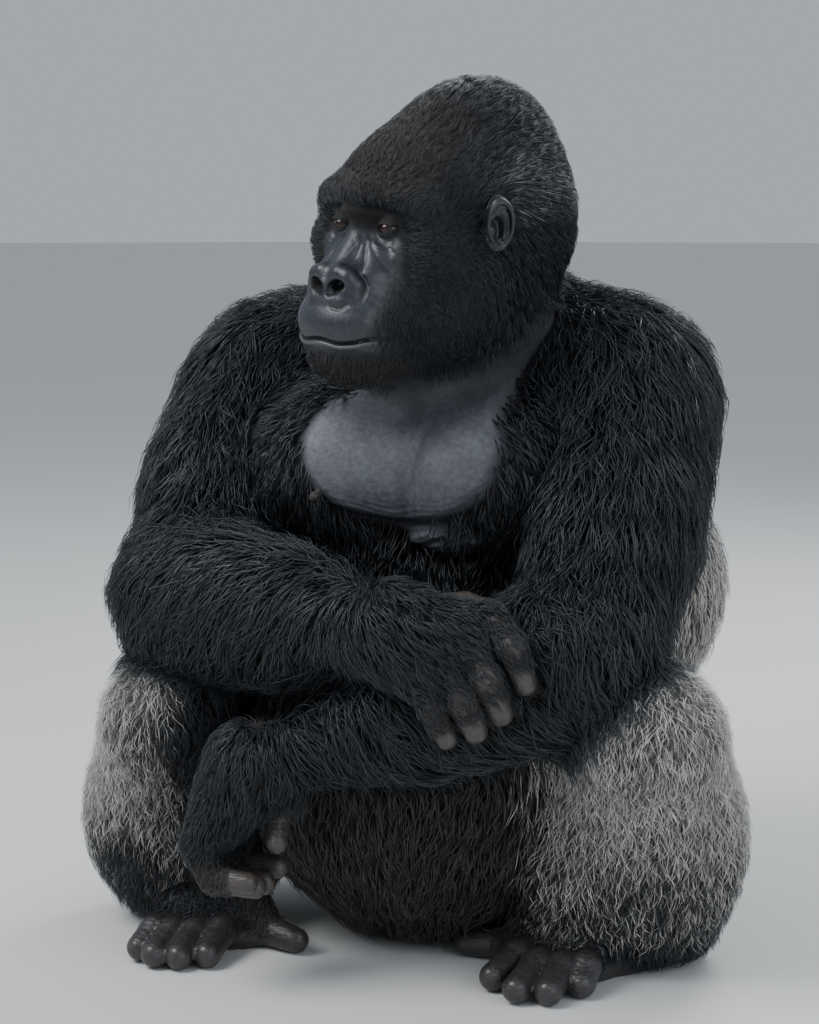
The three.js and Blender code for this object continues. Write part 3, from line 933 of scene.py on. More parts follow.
# %% Markings as functions of place
def waver(p, size, seed):
    """Slow smooth noise from -1 to 1: a sum of sines along three slanted directions."""
    total = 0.0
    for k, slant in enumerate(((1.0, 0.6, -0.3), (-0.5, 1.0, 0.7), (0.4, -0.8, 1.0))):
        total = total + np.sin((slant @ p) / size * (2.1 + 0.7 * k) + seed * (k + 1.7))
    return total / 3.0


def on_arm(names):
    """True for the arms and hands, which stay black."""
    return (np.char.find(names, "arm") >= 0) | (np.char.find(names, "hand") >= 0)


def silver_share(p, names):
    """How many hairs are silver: those of the saddle and outer thighs, and flecks behind one ear."""
    edge = 26.0 * waver(p, 70.0, 3.0)
    rough_edge = edge + 30.0 * waver(p, 34.0, 8.0)
    saddle = smooth(50, 160, p[1] + edge) * smooth(640, 470, p[2] + rough_edge)
    left = smooth(150, 232, p[0] + 0.3 * edge)
    right = smooth(-205, -262, p[0] - 0.3 * edge)
    high = 0.34 + 0.66 * smooth(60, 250, p[2] + edge)
    thighs = np.maximum(left, right * smooth(20, 190, p[2] + edge)) * high * smooth(440, 400, p[2])
    thighs = thighs * smooth(-275, -215, p[1]) * smooth(34, 66, p[2])
    ear_flecks = 0.20 * smooth(60, 25, lengths(in_head(p) - column(96, 42, 62)))
    return np.maximum.reduce([saddle * 0.94, thighs * 0.95, ear_flecks]) * ~on_arm(names)


def warm_share(p, names):
    """Brown tint over the forehead, on the chin and low on the belly, and cream on the left flank."""
    q = in_head(p)
    forehead = smooth(28, 50, q[2]) * smooth(40, -60, q[1]) * smooth(95, 50, np.abs(q[0]))
    chin = smooth(-124, -140, q[2]) * smooth(-70, -100, q[1]) * smooth(-230, -190, q[2])
    belly = 0.9 * smooth(420, 200, p[2]) * smooth(40, -80, p[1]) * smooth(220, 120, np.abs(p[0] - 20))
    high = p[2] + 22.0 * waver(p, 40.0, 5.0)
    cream = smooth(-10, 60, p[1]) * smooth(575, 505, high) * smooth(400, 470, high)
    cream = cream * smooth(195, 245, p[0]) * smooth(190, 120, p[1])
    return np.maximum.reduce([0.6 * forehead, 0.45 * chin, belly, 0.8 * cream]) * ~on_arm(names)


# %% [markdown]
# ## The lie of the coat
# Hair is not stuck on like pins. It lies along the body and hangs. On the head it runs back from the
# face, on the arms it falls and sweeps towards the elbow, on the thighs it runs down. Each part has
# one direction and one row of sizes, and near a boundary the rows are mixed by distance, so that no
# edge shows.

# %% Sizes of the hair on each part
LENGTH, HEIGHT, THICKNESS, LOCK, GATHER, WAVE, SPACING = range(7)
COAT = {  # one row for each part, in the order of those seven names
    "head": (24, 6.5, 0.44, 9, 0.5, 0.8, 2.8),
    "neck": (40, 12, 0.7, 16, 0.5, 1.5, 4.4),
    "trunk": (46, 18, 0.9, 18, 0.5, 2.2, 6.15),
    "upper_arm": (76, 24, 0.8, 26, 0.65, 5.0, 4.75),
    "forearm": (66, 23, 0.8, 24, 0.65, 4.5, 4.8),
    "hand": (26, 8, 0.6, 13, 0.5, 1.2, 3.3),
    "fingers": (10, 2.6, 0.42, 6, 0.3, 0.3, 2.2),
    "thigh": (28, 17, 0.55, 9, 0.6, 3.2, 3.6),
    "shin": (27, 15, 0.55, 9, 0.6, 3.2, 4.0),
    "foot": (14, 3.5, 0.5, 8, 0.4, 0.5, 2.9),
    "toes": (11, 2.6, 0.45, 6, 0.3, 0.2, 2.6),
}
DOWN, BACK = column(0, 0, -1), column(0, 1, 0)


def unit(v):
    """v over its length."""
    return v / np.maximum(lengths(v), 1e-6)


def kind_of(name):
    """The row of COAT for a part's name."""
    return name if name in COAT else name.rsplit("_", 1)[0]


def bone(side, start, end):
    """The unit direction from one joint to another, as a column."""
    return unit((at(end, side) - at(start, side))[:, None])


# %% Directions of the hair
def head_lie(p):
    """Away from the middle of the face, and down at the sides and back of the head."""
    q = in_head(p)
    away = unit(q - column(0, -112, -18))
    fall = smooth(-70, 70, q[1]) * (0.35 + smooth(70, -20, q[2])) + 0.75 * smooth(-20, -90, q[2])
    return HEAD_TURN @ (away + DOWN * fall)


def part_lie(name, p):
    """The direction in which the hair of a part runs, before it is laid onto the skin."""
    kind, side = kind_of(name), name.rsplit("_", 1)[-1]
    if kind == "head":
        return head_lie(p)
    if kind == "trunk":
        outward = np.stack([np.clip((p[0] - 8) / 260, -1, 1), 0 * p[0], 0 * p[0]])
        belly = smooth(60, -60, p[1]) * smooth(520, 420, p[2])
        return DOWN + outward * (0.7 * smooth(560, 680, p[2]) - 0.5 * belly)
    if kind == "upper_arm":
        middle = mix(at("shoulder", side), at("elbow", side), 0.4)
        outward = (p - middle[:, None]) / 130.0
        outward[2] = 0
        return DOWN + 0.35 * bone(side, "shoulder", "elbow") + 0.35 * outward
    if kind in ("hand", "fingers"):
        return 0.5 * DOWN + unit((np.mean(KNUCKLES[side], 0) - at("wrist", side))[:, None])
    if kind == "neck":
        return DOWN + 0.35 * BACK
    if kind == "forearm":
        return 0.85 * DOWN + 0.55 * bone(side, "wrist", "elbow")
    if kind == "thigh":
        return DOWN + 0.3 * bone(side, "hip", "knee")
    if kind == "shin":
        return DOWN
    return 0.5 * DOWN - 0.9 * BACK


# %% Direction and sizes at any place
def coat_at(p):
    """Part, direction and sizes at each place, mixed over the parts by exp(-(d - nearest) / 12)."""
    parts = limbs(p)
    names = list(parts)
    distance = np.stack([parts[name] for name in names])
    nearest = distance.argmin(0)
    weight = np.exp(-(distance - distance.min(0)) / 12.0)
    weight[weight < 0.02] = 0
    weight /= weight.sum(0)
    lie, sizes = np.zeros_like(p), np.zeros((len(COAT["head"]), p.shape[1]))
    for name, share in zip(names, weight):
        some = share > 0
        if some.any():
            lie[:, some] += share[some] * unit(part_lie(name, p[:, some]))
            sizes += share * np.array(COAT[kind_of(name)], float)[:, None]
    q = in_head(p)
    on_head = weight[names.index("head")]
    short = head_depth(q) / 13.0
    sizes[LENGTH] *= mix(1.0, 0.25 + 0.95 * short, on_head) * mix(0.6, 1.0, near_floor(p))
    sizes[HEIGHT] *= mix(1.0, short * 1.3, on_head) * mix(0.35, 1.0, near_floor(p))
    sizes[THICKNESS] *= mix(1.0, 0.7 + 0.3 * short, on_head)
    sizes[SPACING] *= mix(1.0, 0.75 + 0.25 * np.clip(short, 0, 1), on_head)
    return np.array(names)[nearest], lie, sizes


# %% Where hair grows
def hair_share(p, names):
    """1 where hair grows and 0 on bare skin: toes and fingers have it on their backs near the root."""
    q = in_head(p)
    share = (1 - bare_face(q)) * (1 - bare_ear(q)) * (1 - bare_breast(p))
    soles = np.isin(names, ["foot_left", "foot_right"]) & (p[2] < FLOOR + 26)
    share[soles] = 0
    for side in SIDES:
        inner, great = at("inner", side), at("great", side)
        some = names == "toes_" + side
        here = p[:, some]
        backs = [taper(here, inner, mix(inner, great, 0.45), 24, 20)]
        backs += [taper(here, root, mix(root, tip, 0.3), 18, 18) for root, _, tip in toe_joints(side)]
        share[some] *= smooth(5.0, -1.0, np.minimum.reduce(backs)) * (here[2] > FLOOR + 20)
        some = names == "fingers_" + side
        here = p[:, some]
        backs = []
        for knuckle, middle, tip in finger_joints(side):
            backs += [taper(here, knuckle, middle, 17, 15),
                      taper(here, middle, mix(middle, tip, 0.3), 15, 15)]
        share[some] *= smooth(4.0, -1.0, np.minimum.reduce(backs))
    return share


# %% Locks: the nearest point of a jittered lattice
def scatter(cells, seed):
    """Three numbers from 0 to 1 for each whole-number cell, by multiplying and mixing its bits."""
    mixed = (cells[0] * 73856093) ^ (cells[1] * 19349663) ^ (cells[2] * 83492791) ^ (seed * 2654435761)
    out = []
    for _ in range(3):
        mixed = (mixed ^ (mixed >> 15)) * 2246822519 % 4294967296
        mixed = (mixed ^ (mixed >> 13)) * 3266489917 % 4294967296
        out.append((mixed ^ (mixed >> 16)) % 65536 / 65535.0)
    return np.array(out)


def lock_of(p, size, seed):
    """The centre of the lock that each place belongs to, and three numbers that its hairs share."""
    home = np.floor(p / size).astype(np.int64)
    best = np.full(p.shape[1], 1e9)
    centre, numbers = np.zeros_like(p), np.zeros_like(p)
    for step in np.ndindex(3, 3, 3):
        cells = home + np.array(step)[:, None] - 1
        found = scatter(cells + 4096, seed)
        place = (cells + found) * size
        gap = lengths(place - p)
        closer = gap < best
        best[closer] = gap[closer]
        centre[:, closer], numbers[:, closer] = place[:, closer], found[[1, 2, 0]][:, closer]
    return centre, numbers


# %% [markdown]
# ## Sowing the roots
# Roots are sown over the triangles of the skin in proportion to area and to how close the hair
# should stand. Where one limb lies on another, or the rump on the floor, no hair is grown: nobody
# sees it, and it would poke through. To find such places, the distance is asked again a little way
# off the skin: where it stays small, something else is near.

# %% Sowing
corners = np.moveaxis(points[:, triangles], -1, 0)
across = np.cross(corners[1] - corners[0], corners[2] - corners[0], axis=0)
area = lengths(across) / 2
face_normal = across / np.maximum(2 * area, 1e-9)
face_middle = corners.mean(0)
found = zip(*batches(coat_at, face_middle))
face_part, face_lie, face_sizes = (np.concatenate(blocks, -1) for blocks in found)
reach = face_sizes[HEIGHT] * 0.9 + 4.0
room = in_batches(skin_distance, face_middle + face_normal * reach) / reach
sat_on = (face_middle[2] < FLOOR + 14) & (face_normal[2] < -0.3)
grown = hair_share(face_middle, face_part) * smooth(0.0, 0.5, room) * ~sat_on
told(f"haired area {np.sum(area * grown) / 1e6:.2f} of {np.sum(area) / 1e6:.2f} square metres")

chance = np.random.default_rng(SEED)
expected = area * grown / face_sizes[SPACING] ** 2
total = np.cumsum(expected)
turns = np.arange(0.5, total[-1])
home = np.searchsorted(total, turns + chance.uniform(-0.5, 0.5, len(turns)))
home = np.clip(home, 0, len(expected) - 1)
share = chance.uniform(size=(2, len(home)))
share[:, share.sum(0) > 1] = 1 - share[:, share.sum(0) > 1]
root = corners[0][:, home] + sum(share[k] * (corners[k + 1] - corners[0])[:, home] for k in (0, 1))
root_part, root_lie, root_sizes = face_part[home], face_lie[:, home], face_sizes[:, home]
told(f"{len(home)} roots: " + ", ".join(f"{n} {np.sum(root_part == n)}" for n in np.unique(root_part)))

# %% [markdown]
# ## One hair spike
# Each tuft is a bent spike with three sides, flat like a blade of grass. Its middle line follows the
# lie over the skin, rises to its height, is drawn towards the middle of its lock, and waves a
# little. All spikes are computed together as whole arrays.

# %% Middle lines of the spikes
LOCK_LIMITS = (7.0, 11.0, 14.5, 20.0)
LOCK_WIDTHS = (6.0, 9.0, 12.5, 17.0, 24.0)  # one lattice for each class between those limits
FULL_TURN, QUARTER_TURN = 6.283, 1.5708
ROOT_DEPTH = 1.5


def laid(direction, normal, lift):
    """The direction laid onto the skin: d - n (n . d), kept hanging where the skin faces the floor."""
    along = np.sum(direction * normal, 0)
    flat = direction - normal * np.minimum(along, 0.75 * np.maximum(along, 0))
    return unit(unit(flat) + normal * lift)


def middle_lines(root, lie, sizes, stations, seed):
    """Places (stations, 3, n) from root to tip, and the outward direction at each."""
    length, height, _, lock, gather, wave, _ = sizes
    size_class = np.digitize(lock, LOCK_LIMITS)
    centre, numbers = np.zeros_like(root), np.zeros_like(root)
    for step, width in enumerate(LOCK_WIDTHS):
        some = size_class == step
        if some.any():
            centre[:, some], numbers[:, some] = lock_of(root[:, some], width, seed + step)
    own = np.random.default_rng(seed).uniform(-1, 1, (4, root.shape[1]))
    length = length * (0.86 + 0.34 * numbers[0]) * (1 + 0.16 * own[0])
    normal, _ = slope(root, skin_distance, 2.0)
    frizz = np.clip(wave / np.maximum(lock, 1), 0, 0.4)
    swing = (numbers[1] - 0.5) * 0.7 + (0.12 + 1.5 * frizz) * own[1]
    ahead = laid(lie, normal, 0.0)
    aside = unit(np.cross(normal, ahead, axis=0))
    lie = unit(lie + aside * swing * lengths(lie))
    pull = centre - root
    flat_pull = pull - normal * np.sum(pull * normal, 0)
    off_middle = np.clip(lengths(flat_pull) / np.maximum(lock, 1) * 1.6, 0, 1)
    height = height * (0.72 + 0.36 * numbers[2]) * (1 - 0.35 * off_middle) * (1 + 0.18 * own[2])
    places, normals = [root - normal * ROOT_DEPTH], [normal]
    here = root
    for before, now in zip(stations[:-1], stations[1:]):
        ahead = laid(lie, normal, 0.25 if before == 0 else 0.0)
        aside = unit(np.cross(normal, ahead, axis=0))
        here = here + ahead * length * (now - before)
        bend = np.sin(FULL_TURN * (numbers[0] + 0.9 * now) + own[3]) * wave * now
        drawn = pull - normal * np.sum(pull * normal, 0) - ahead * np.sum(pull * ahead, 0)
        there = here + drawn * gather * now ** 0.8 + aside * bend
        normal, steep = slope(there, skin_distance, 2.0)
        wish = height * np.sin(np.minimum(now * 1.35, 1.0) * QUARTER_TURN)
        gap = wish - skin_distance(there)
        there = there + normal * np.clip(gap / np.maximum(steep, 0.5), -30, 30)
        places.append(there)
        normals.append(normal)
    return np.array(places), np.array(normals), numbers


# %% From middle lines to meshes
WIDE, FLAT = 1.35, 0.75  # half sizes of the spike's section, as shares of its radius
THIRDS = (0.0, 2.0944, 4.1888)  # of a circle, in radians
FLOOR_GAP = 0.6  # no hair and no nail comes nearer to the floor


def spike_mesh(places, normals, radius):
    """Points (3, n * k) and triangles: three corners round each station but the last, one at the tip."""
    stations, _, count = places.shape
    rings = stations - 1
    ahead = np.concatenate([places[1:2] - places[:1], places[2:] - places[:-2]])
    across = np.cross(ahead, normals[:-1], axis=1)
    across /= np.maximum(np.linalg.norm(across, axis=1, keepdims=True), 1e-6)
    thick = np.linspace(1.0, 0.72, rings)[:, None, None] * radius
    made = []
    for turn in THIRDS:
        corner = np.sin(turn) * WIDE * across + np.cos(turn) * FLAT * normals[:-1]
        made.append(places[:-1] + corner * thick)
    ring_points = np.stack(made, 1).reshape(rings * 3, 3, count)
    all_points = np.concatenate([ring_points, places[-1:]])
    all_points[:, 2] = np.maximum(all_points[:, 2], FLOOR + FLOOR_GAP)
    faces = [[0, 2, 1]]
    for ring in range(rings - 1):
        for k in range(3):
            a, b = 3 * ring + k, 3 * ring + (k + 1) % 3
            faces += [[a, b, b + 3], [a, b + 3, a + 3]]
    last = 3 * (rings - 1)
    faces += [[last + k, last + (k + 1) % 3, last + 3] for k in range(3)]
    per = len(all_points)
    faces = np.array(faces)[None] + per * np.arange(count)[:, None, None]
    return all_points.transpose(1, 2, 0).reshape(3, -1), faces.reshape(-1, 3), per


# %% A map to bake the coat on
def around(p, start, end):
    """Place on an unwrap: the angle about the line from start to end, and the share along it."""
    start, end = np.asarray(start, float), np.asarray(end, float)
    axis = end - start
    long = np.linalg.norm(axis)
    axis = axis / long
    first = unit(np.cross(axis, [0.3, 1.0, 0.2])[:, None])[:, 0]
    second = np.cross(axis, first)
    offset = p - start[:, None]
    angle = np.arctan2(second @ offset, first @ offset) / 6.2832 + 0.5
    return angle, np.clip((axis @ offset / long + 0.35) / 1.7, 0, 1)


PATCH = 0.003


def add_bake_map(piece, rooted, part, names, per, faces):
    """UV map OFBake: each spike is a small patch at its root's place on the unwrapped skin."""
    place = np.zeros((2, rooted.shape[1]))
    for column, name in enumerate(names):
        chosen = part == name
        angle, along = around(rooted[:, chosen], *AXES[name])
        strip = (column + 0.01 + 0.97 * angle) / len(names)
        place[:, chosen] = 0.004 + 0.988 * np.stack([strip, along])
    corner = np.arange(per)
    patch = PATCH * np.stack([(corner % 3) / 2.0, corner / (per - 1.0)])
    owner, which = faces.ravel() // per, faces.ravel() % per
    uv = piece.data.uv_layers.new(name="OFBake")
    uv.data.foreach_set("uv", (place[:, owner] + patch[:, which]).T.astype(np.float32).ravel())


# %% The line through each part that its unwrap is wound about
AXES = {"head": (from_head((0, 10, -150))[:, 0], from_head((0, 50, 160))[:, 0]),
        "neck": ((10, 100, 640), (10, 100, 860)), "trunk": ((10, 120, 0), (10, 120, 760))}
LIMB_AXES = {"upper_arm": ("shoulder", "elbow"), "forearm": ("elbow", "wrist"), "thigh": ("hip", "knee"),
             "shin": ("knee", "ankle"), "foot": ("heel", "outer"), "toes": ("heel", "outer")}
for side in SIDES:
    for part, (start, end) in LIMB_AXES.items():
        AXES[f"{part}_{side}"] = at(start, side), at(end, side)
    knuckles = np.mean(KNUCKLES[side], 0)
    AXES[f"hand_{side}"] = at("wrist", side), knuckles
    AXES[f"fingers_{side}"] = knuckles, knuckles + TO_MIDDLE[side][1]

# %% The pieces of the coat: their parts, and where on those parts
PIECES = {
    "coat_crown": (["head"], lambda p: in_head(p)[1] >= 10),
    "coat_face": (["head", "neck"], lambda p: in_head(p)[1] < 10),
    "coat_back": (["trunk"], lambda p: p[1] >= 190),
    "coat_front": (["trunk"], lambda p: (p[1] < 190) & (p[2] < 330)),
    "coat_shoulders": (["trunk", "neck"], lambda p: (p[1] < 190) & (p[2] >= 330)),
}
for limb, parts in (("upper_arm", ["upper_arm"]), ("forearm", ["forearm", "hand", "fingers"]),
                    ("leg", ["thigh", "shin", "foot", "toes"])):
    for side in SIDES:
        PIECES[f"coat_{limb}_{side}"] = [f"{part}_{side}" for part in parts], lambda p: True


def grow(name, some, names, seed):
    """One piece of the coat, with a spike on every root that some picks out, and its numbers."""
    rooted, part, sizes = root[:, some], root_part[some], root_sizes[:, some]
    stations = np.array([0, 0.34, 0.68, 1.0]) if "arm" in name else np.array([0, 0.5, 1.0])
    places, normals, numbers = middle_lines(rooted, root_lie[:, some], sizes, stations, SEED)
    own = np.random.default_rng(seed).uniform(size=(3, places.shape[2]))
    places, faces, per = spike_mesh(places, normals, sizes[THICKNESS] * (0.75 + 0.5 * own[0]))
    piece = make_mesh(name, places, faces)
    add_bake_map(piece, rooted, part, names, per, faces)
    along = np.concatenate([np.repeat(stations[:-1], 3), [1.0]])
    add_value(piece, "along", np.tile(along, rooted.shape[1]))
    share_here = silver_share(rooted, part)
    silver = smooth(-0.22, 0.30, share_here - own[2]) * smooth(0.0, 0.12, share_here)
    for key, values in {"tone": 0.5 * numbers[1] + 0.5 * own[1], "silver": silver,
                        "warm": warm_share(rooted, part)}.items():
        add_value(piece, key, np.repeat(values, per))
    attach(piece, "root")
    told(f"{name}: {rooted.shape[1]} spikes, {len(faces)} triangles")
    return piece


coat = []
left_over = np.ones(root.shape[1], bool)
for order, (name, (names, inside)) in enumerate(PIECES.items()):
    some = np.isin(root_part, names) & left_over & inside(root)
    left_over &= ~some
    coat.append(grow(name, some, names, SEED + order))
told(f"coat: {sum(len(piece.data.polygons) for piece in coat)} triangles")

# %% [markdown]
# ## Eyes
# The eye is a ball with a clear bulge over the iris. One surface of revolution holds it all, and the
# angle from the line of sight is kept on each vertex, so that the material can place pupil, iris and
# white by that angle. A gorilla's white is brown, and the lids leave only a slit of it.

# %% Rings closed by two poles
def round_grid(values, spokes, *poles):
    """A value and an angle of turn for each point of the rings, then for the poles, which come last."""
    turns = np.arange(spokes) * 2 * np.pi / spokes
    value, turn = (grid.ravel() for grid in np.meshgrid(values, turns, indexing="ij"))
    return np.concatenate([value, poles]), np.concatenate([turn, np.zeros(len(poles))])


def fan(pole, ring):
    """Triangles from one point to each two neighbours on a ring of point numbers."""
    return faces_of(np.full(len(ring), pole), ring, np.roll(ring, -1))


def closed_rings(rings, spokes):
    """Triangles between each ring and the next, and a fan from a pole to the first and the last."""
    ring, spoke = (grid.ravel() for grid in np.indices((rings - 1, spokes)))
    a, b = ring * spokes + spoke, ring * spokes + (spoke + 1) % spokes
    first = np.arange(spokes)
    last, pole = first + (rings - 1) * spokes, rings * spokes
    return np.concatenate([faces_of(a, b + spokes, b), faces_of(a, a + spokes, b + spokes),
                           fan(pole, first), fan(pole + 1, last[::-1])])


# %% The two eyeballs
EYE_RINGS, EYE_SPOKES = 39, 48
GAZE = np.array([-0.10, -1.0, -0.04])


def eyeball(name, side):
    """Ball of radius 12.3 with a bulge of 0.9 exp(-(angle / 0.5)^2) about the line of sight."""
    s = 1 if side == "left" else -1
    forward = GAZE / np.linalg.norm(GAZE)
    across = np.cross(forward, [0, 0, 1.0])
    across /= np.linalg.norm(across)
    over = np.cross(across, forward)
    angles = np.linspace(0, np.pi, EYE_RINGS + 2)[1:-1]
    angle, turn = round_grid(angles, EYE_SPOKES, 0.0, np.pi)
    radius = EYE_RADIUS - 0.2 + 0.9 * np.exp(-(angle / 0.5) ** 2)
    ray = (forward[:, None] * np.cos(angle) + across[:, None] * np.sin(angle) * np.cos(turn)
           + over[:, None] * np.sin(angle) * np.sin(turn))
    places = from_head((EYE * (s, 1, 1))[:, None] + ray * radius)
    piece = make_mesh(name, places, closed_rings(EYE_RINGS, EYE_SPOKES))
    add_value(piece, "gaze_angle", angle)
    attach(piece, "root")
    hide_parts("eye_" + side)
    return piece


eyeballs = [eyeball("eyeball_" + side, side) for side in SIDES]
told("two eyeballs")

# %% [markdown]
# ## Nails
# Each nail is a small shield pressed onto the tip of its toe or finger. It starts as a disc of rings,
# is laid on the skin by the same distance formula, and rises a little above it in the middle, so it
# follows the digit whatever its shape.

# %% Nails on toes and fingers
NAIL_RINGS, NAIL_SPOKES = 6, 18
NAIL_RISE, NAIL_SINK = 0.9, 0.3


def nail(tip, toward, up, radius, wide, long):
    """A disc of rings at height 0.9 (1 - r^4) - 0.3 above the skin, closed by a point below it."""
    toward, up = np.asarray(toward, float), np.asarray(up, float)
    toward = toward / np.linalg.norm(toward)
    up = up - toward * (up @ toward)
    up /= np.linalg.norm(up)
    out = 0.80 * up + 0.60 * toward
    ahead = 0.80 * toward - 0.60 * up
    aside = np.cross(ahead, out)
    ring, turn = round_grid(np.linspace(0.2, 1.0, NAIL_RINGS), NAIL_SPOKES, 0.0)
    shield = (tip + out * radius)[:, None] + aside[:, None] * (wide / 2) * ring * np.cos(turn)
    shield = shield + ahead[:, None] * (long / 2) * ring * np.sin(turn)
    wish = NAIL_RISE * (1 - ring ** 4) - NAIL_SINK
    for _ in range(3):
        shield = shield - out[:, None] * (fine_distance(shield) - wish)
    shield[2] = np.maximum(shield[2], FLOOR + FLOOR_GAP)
    under = shield[:, -1:] - out[:, None] * 3.0
    return np.concatenate([shield, under], 1)


UP, DOWN_FRONT = (0, 0, 1), (0, -0.6, -1)
shields = []
for side in SIDES:
    for _, arch, tip in toe_joints(side):
        shields.append(nail(tip, tip - arch, UP, 16.0, 15.0, 12.0))
    great = at("great", side)
    shields.append(nail(great, great - at("inner", side), UP, 17.0, 19.0, 15.0))
for _, middle, tip in finger_joints("left"):
    shields.append(nail(tip, tip - middle, DOWN_FRONT, 14.5, 13.0, 12.0))
nail_points = np.concatenate(shields, 1)
nail_starts = np.arange(len(shields)) * shields[0].shape[1]
nail_faces = closed_rings(NAIL_RINGS, NAIL_SPOKES) + nail_starts[:, None, None]
nails = make_mesh("nails", nail_points, nail_faces.reshape(-1, 3))
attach(nails, "root")
told(f"nails: {nail_points.shape[1]} points")

# %% [markdown]
# ## What the skin knows about itself
# The numbers that the skin's material needs, one for each vertex: how haired, how silver, how brown,
# whether it is breast, finger, foot or nipple, the painted highlight on the lower lip, and how deep in
# painted shade it lies.

# %% Numbers on the skin
def nearest_part(p):
    """The name of the part whose skin is nearest."""
    parts = limbs(p)
    return np.array(list(parts))[np.stack(list(parts.values())).argmin(0)]


part_here = in_batches(nearest_part, points)
haired = hair_share(points, part_here)
on_hand = np.isin(part_here, ["fingers_left", "fingers_right"])
on_foot = np.isin(part_here, ["toes_left", "toes_right", "foot_left", "foot_right"])
nipple = smooth(15, 9, np.minimum(*[lengths(points - column(*place)) for place in NIPPLES]))
local = in_head(points)
# Painted shade: the skin is painted near black inside the nostrils, in the ear bowls, under the brow and
# on the throat under the jaw, where shade falls.
nostrils = ball_pair(local, (15.5, -176, -58), (10.5, 15, 6.8))
in_ears = ball_pair(local, (110, -17, 14), (9, 9, 16))
aside = np.abs(local[0])
under_brow = smooth(-2, 9, local[2] + 0.12 * aside) * smooth(46, 38, local[2]) * smooth(70, 54, aside)
under_brow = under_brow * smooth(-90, -104, local[1])
throat = smooth(635, 715, points[2]) * bare_breast(points)
shade = np.maximum.reduce([smooth(2.0, -2.5, nostrils), 0.93 * under_brow,
                           0.8 * smooth(2.0, -3.0, in_ears), 0.78 * throat])
# Painted highlight: lip marks a light band along the top of the lower lip, where the light falls on it.
above_lip = local[2] - lip_line(local) + 4.2
lip = np.exp(-(above_lip / 1.9) ** 2) * bare_face(local) * smooth(-125, -140, local[1])
numbers_here = {
    "haired": haired, "silver": silver_share(points, part_here),
    "warm": warm_share(points, part_here), "breast": bare_breast(points),
    "hand": on_hand, "sole": on_foot, "nipple": nipple, "lip": lip, "shade": shade}
for name, values in numbers_here.items():
    add_value(skin, name, values)
told("numbers on the skin")

# %% [markdown]
# ## Materials
# Everything is drawn by shader nodes from those numbers and from noise in object space, so nothing
# repeats and there are no seams. A helper keeps each recipe short.

# %% A helper for shader nodes
class Recipe:
    """A material with its Principled shader, and short ways to add the nodes that feed it."""

    def __init__(self, name):
        self.material = bpy.data.materials.new(name)
        self.material.use_nodes = True
        self.tree = self.material.node_tree
        self.shader = self.tree.nodes["Principled BSDF"]
        self.place = self.node("ShaderNodeTexCoord").outputs["Object"]

    def node(self, kind, **settings):
        """A new node; settings are its properties."""
        made = self.tree.nodes.new(kind)
        for key, setting in settings.items():
            setattr(made, key, setting)
        return made

    def put(self, value, socket):
        """Sets a socket to a number or colour, or links another socket to it."""
        if isinstance(value, bpy.types.NodeSocket):
            self.tree.links.new(value, socket)
        else:
            socket.default_value = value

    def shade(self, **values):
        """Sets or links the shader's own sockets: Base_Color is the socket Base Color, and so on."""
        for name, value in values.items():
            self.put(value, self.shader.inputs[name.replace("_", " ")])

    def number(self, name):
        """A number kept on the vertices."""
        return self.node("ShaderNodeAttribute", attribute_name=name).outputs["Fac"]

    def noise(self, size, detail=4.0, stretch=None):
        """Noise from 0 to 1 with grains of the given size in metres."""
        made = self.node("ShaderNodeTexNoise")
        made.inputs["Scale"].default_value = 1.0 / size
        made.inputs["Detail"].default_value = detail
        place = self.place
        if stretch:
            mapping = self.node("ShaderNodeMapping")
            mapping.inputs["Scale"].default_value = stretch
            self.put(place, mapping.inputs["Vector"])
            place = mapping.outputs["Vector"]
        self.put(place, made.inputs["Vector"])
        return made.outputs["Fac"]

    def cells(self, size):
        """Distance to the nearest cell wall: the fine lozenges of bare skin."""
        made = self.node("ShaderNodeTexVoronoi", feature="DISTANCE_TO_EDGE")
        made.inputs["Scale"].default_value = 1.0 / size
        self.put(self.place, made.inputs["Vector"])
        return made.outputs["Distance"]

    def math(self, kind, one, two):
        """One arithmetic step."""
        made = self.node("ShaderNodeMath", operation=kind)
        self.put(one, made.inputs[0])
        self.put(two, made.inputs[1])
        return made.outputs[0]

    def times(self, one, two):
        """one * two."""
        return self.math("MULTIPLY", one, two)

    def plus(self, total, value, share):
        """total + value * share."""
        return self.math("ADD", total, self.times(value, share))

    def spread(self, value, low, high, to_low=0.0, to_high=1.0):
        """Carries value from the range low..high to the range to_low..to_high, and clamps it."""
        made = self.node("ShaderNodeMapRange")
        for socket, number in zip(made.inputs, (value, low, high, to_low, to_high)):
            self.put(number, socket)
        return made.outputs[0]

    def mixed(self, share, one, two, kind="MIX"):
        """Two colours mixed by a share."""
        made = self.node("ShaderNodeMix", data_type="RGBA", blend_type=kind)
        self.put(share, made.inputs["Factor"])
        for socket, colour in zip(made.inputs[6:8], (one, two)):
            self.put(colour if isinstance(colour, bpy.types.NodeSocket) else (*colour, 1.0), socket)
        return made.outputs[2]

    def bump(self, height, depth, strength=1.0):
        """Small relief: height in 0..1, depth in metres."""
        made = self.node("ShaderNodeBump")
        made.inputs["Strength"].default_value = strength
        made.inputs["Distance"].default_value = depth
        self.put(height, made.inputs["Height"])
        self.put(made.outputs["Normal"], self.shader.inputs["Normal"])


# %% Skin
def grey(value):
    """A colour with the same red, green and blue."""
    return (value, value, value)


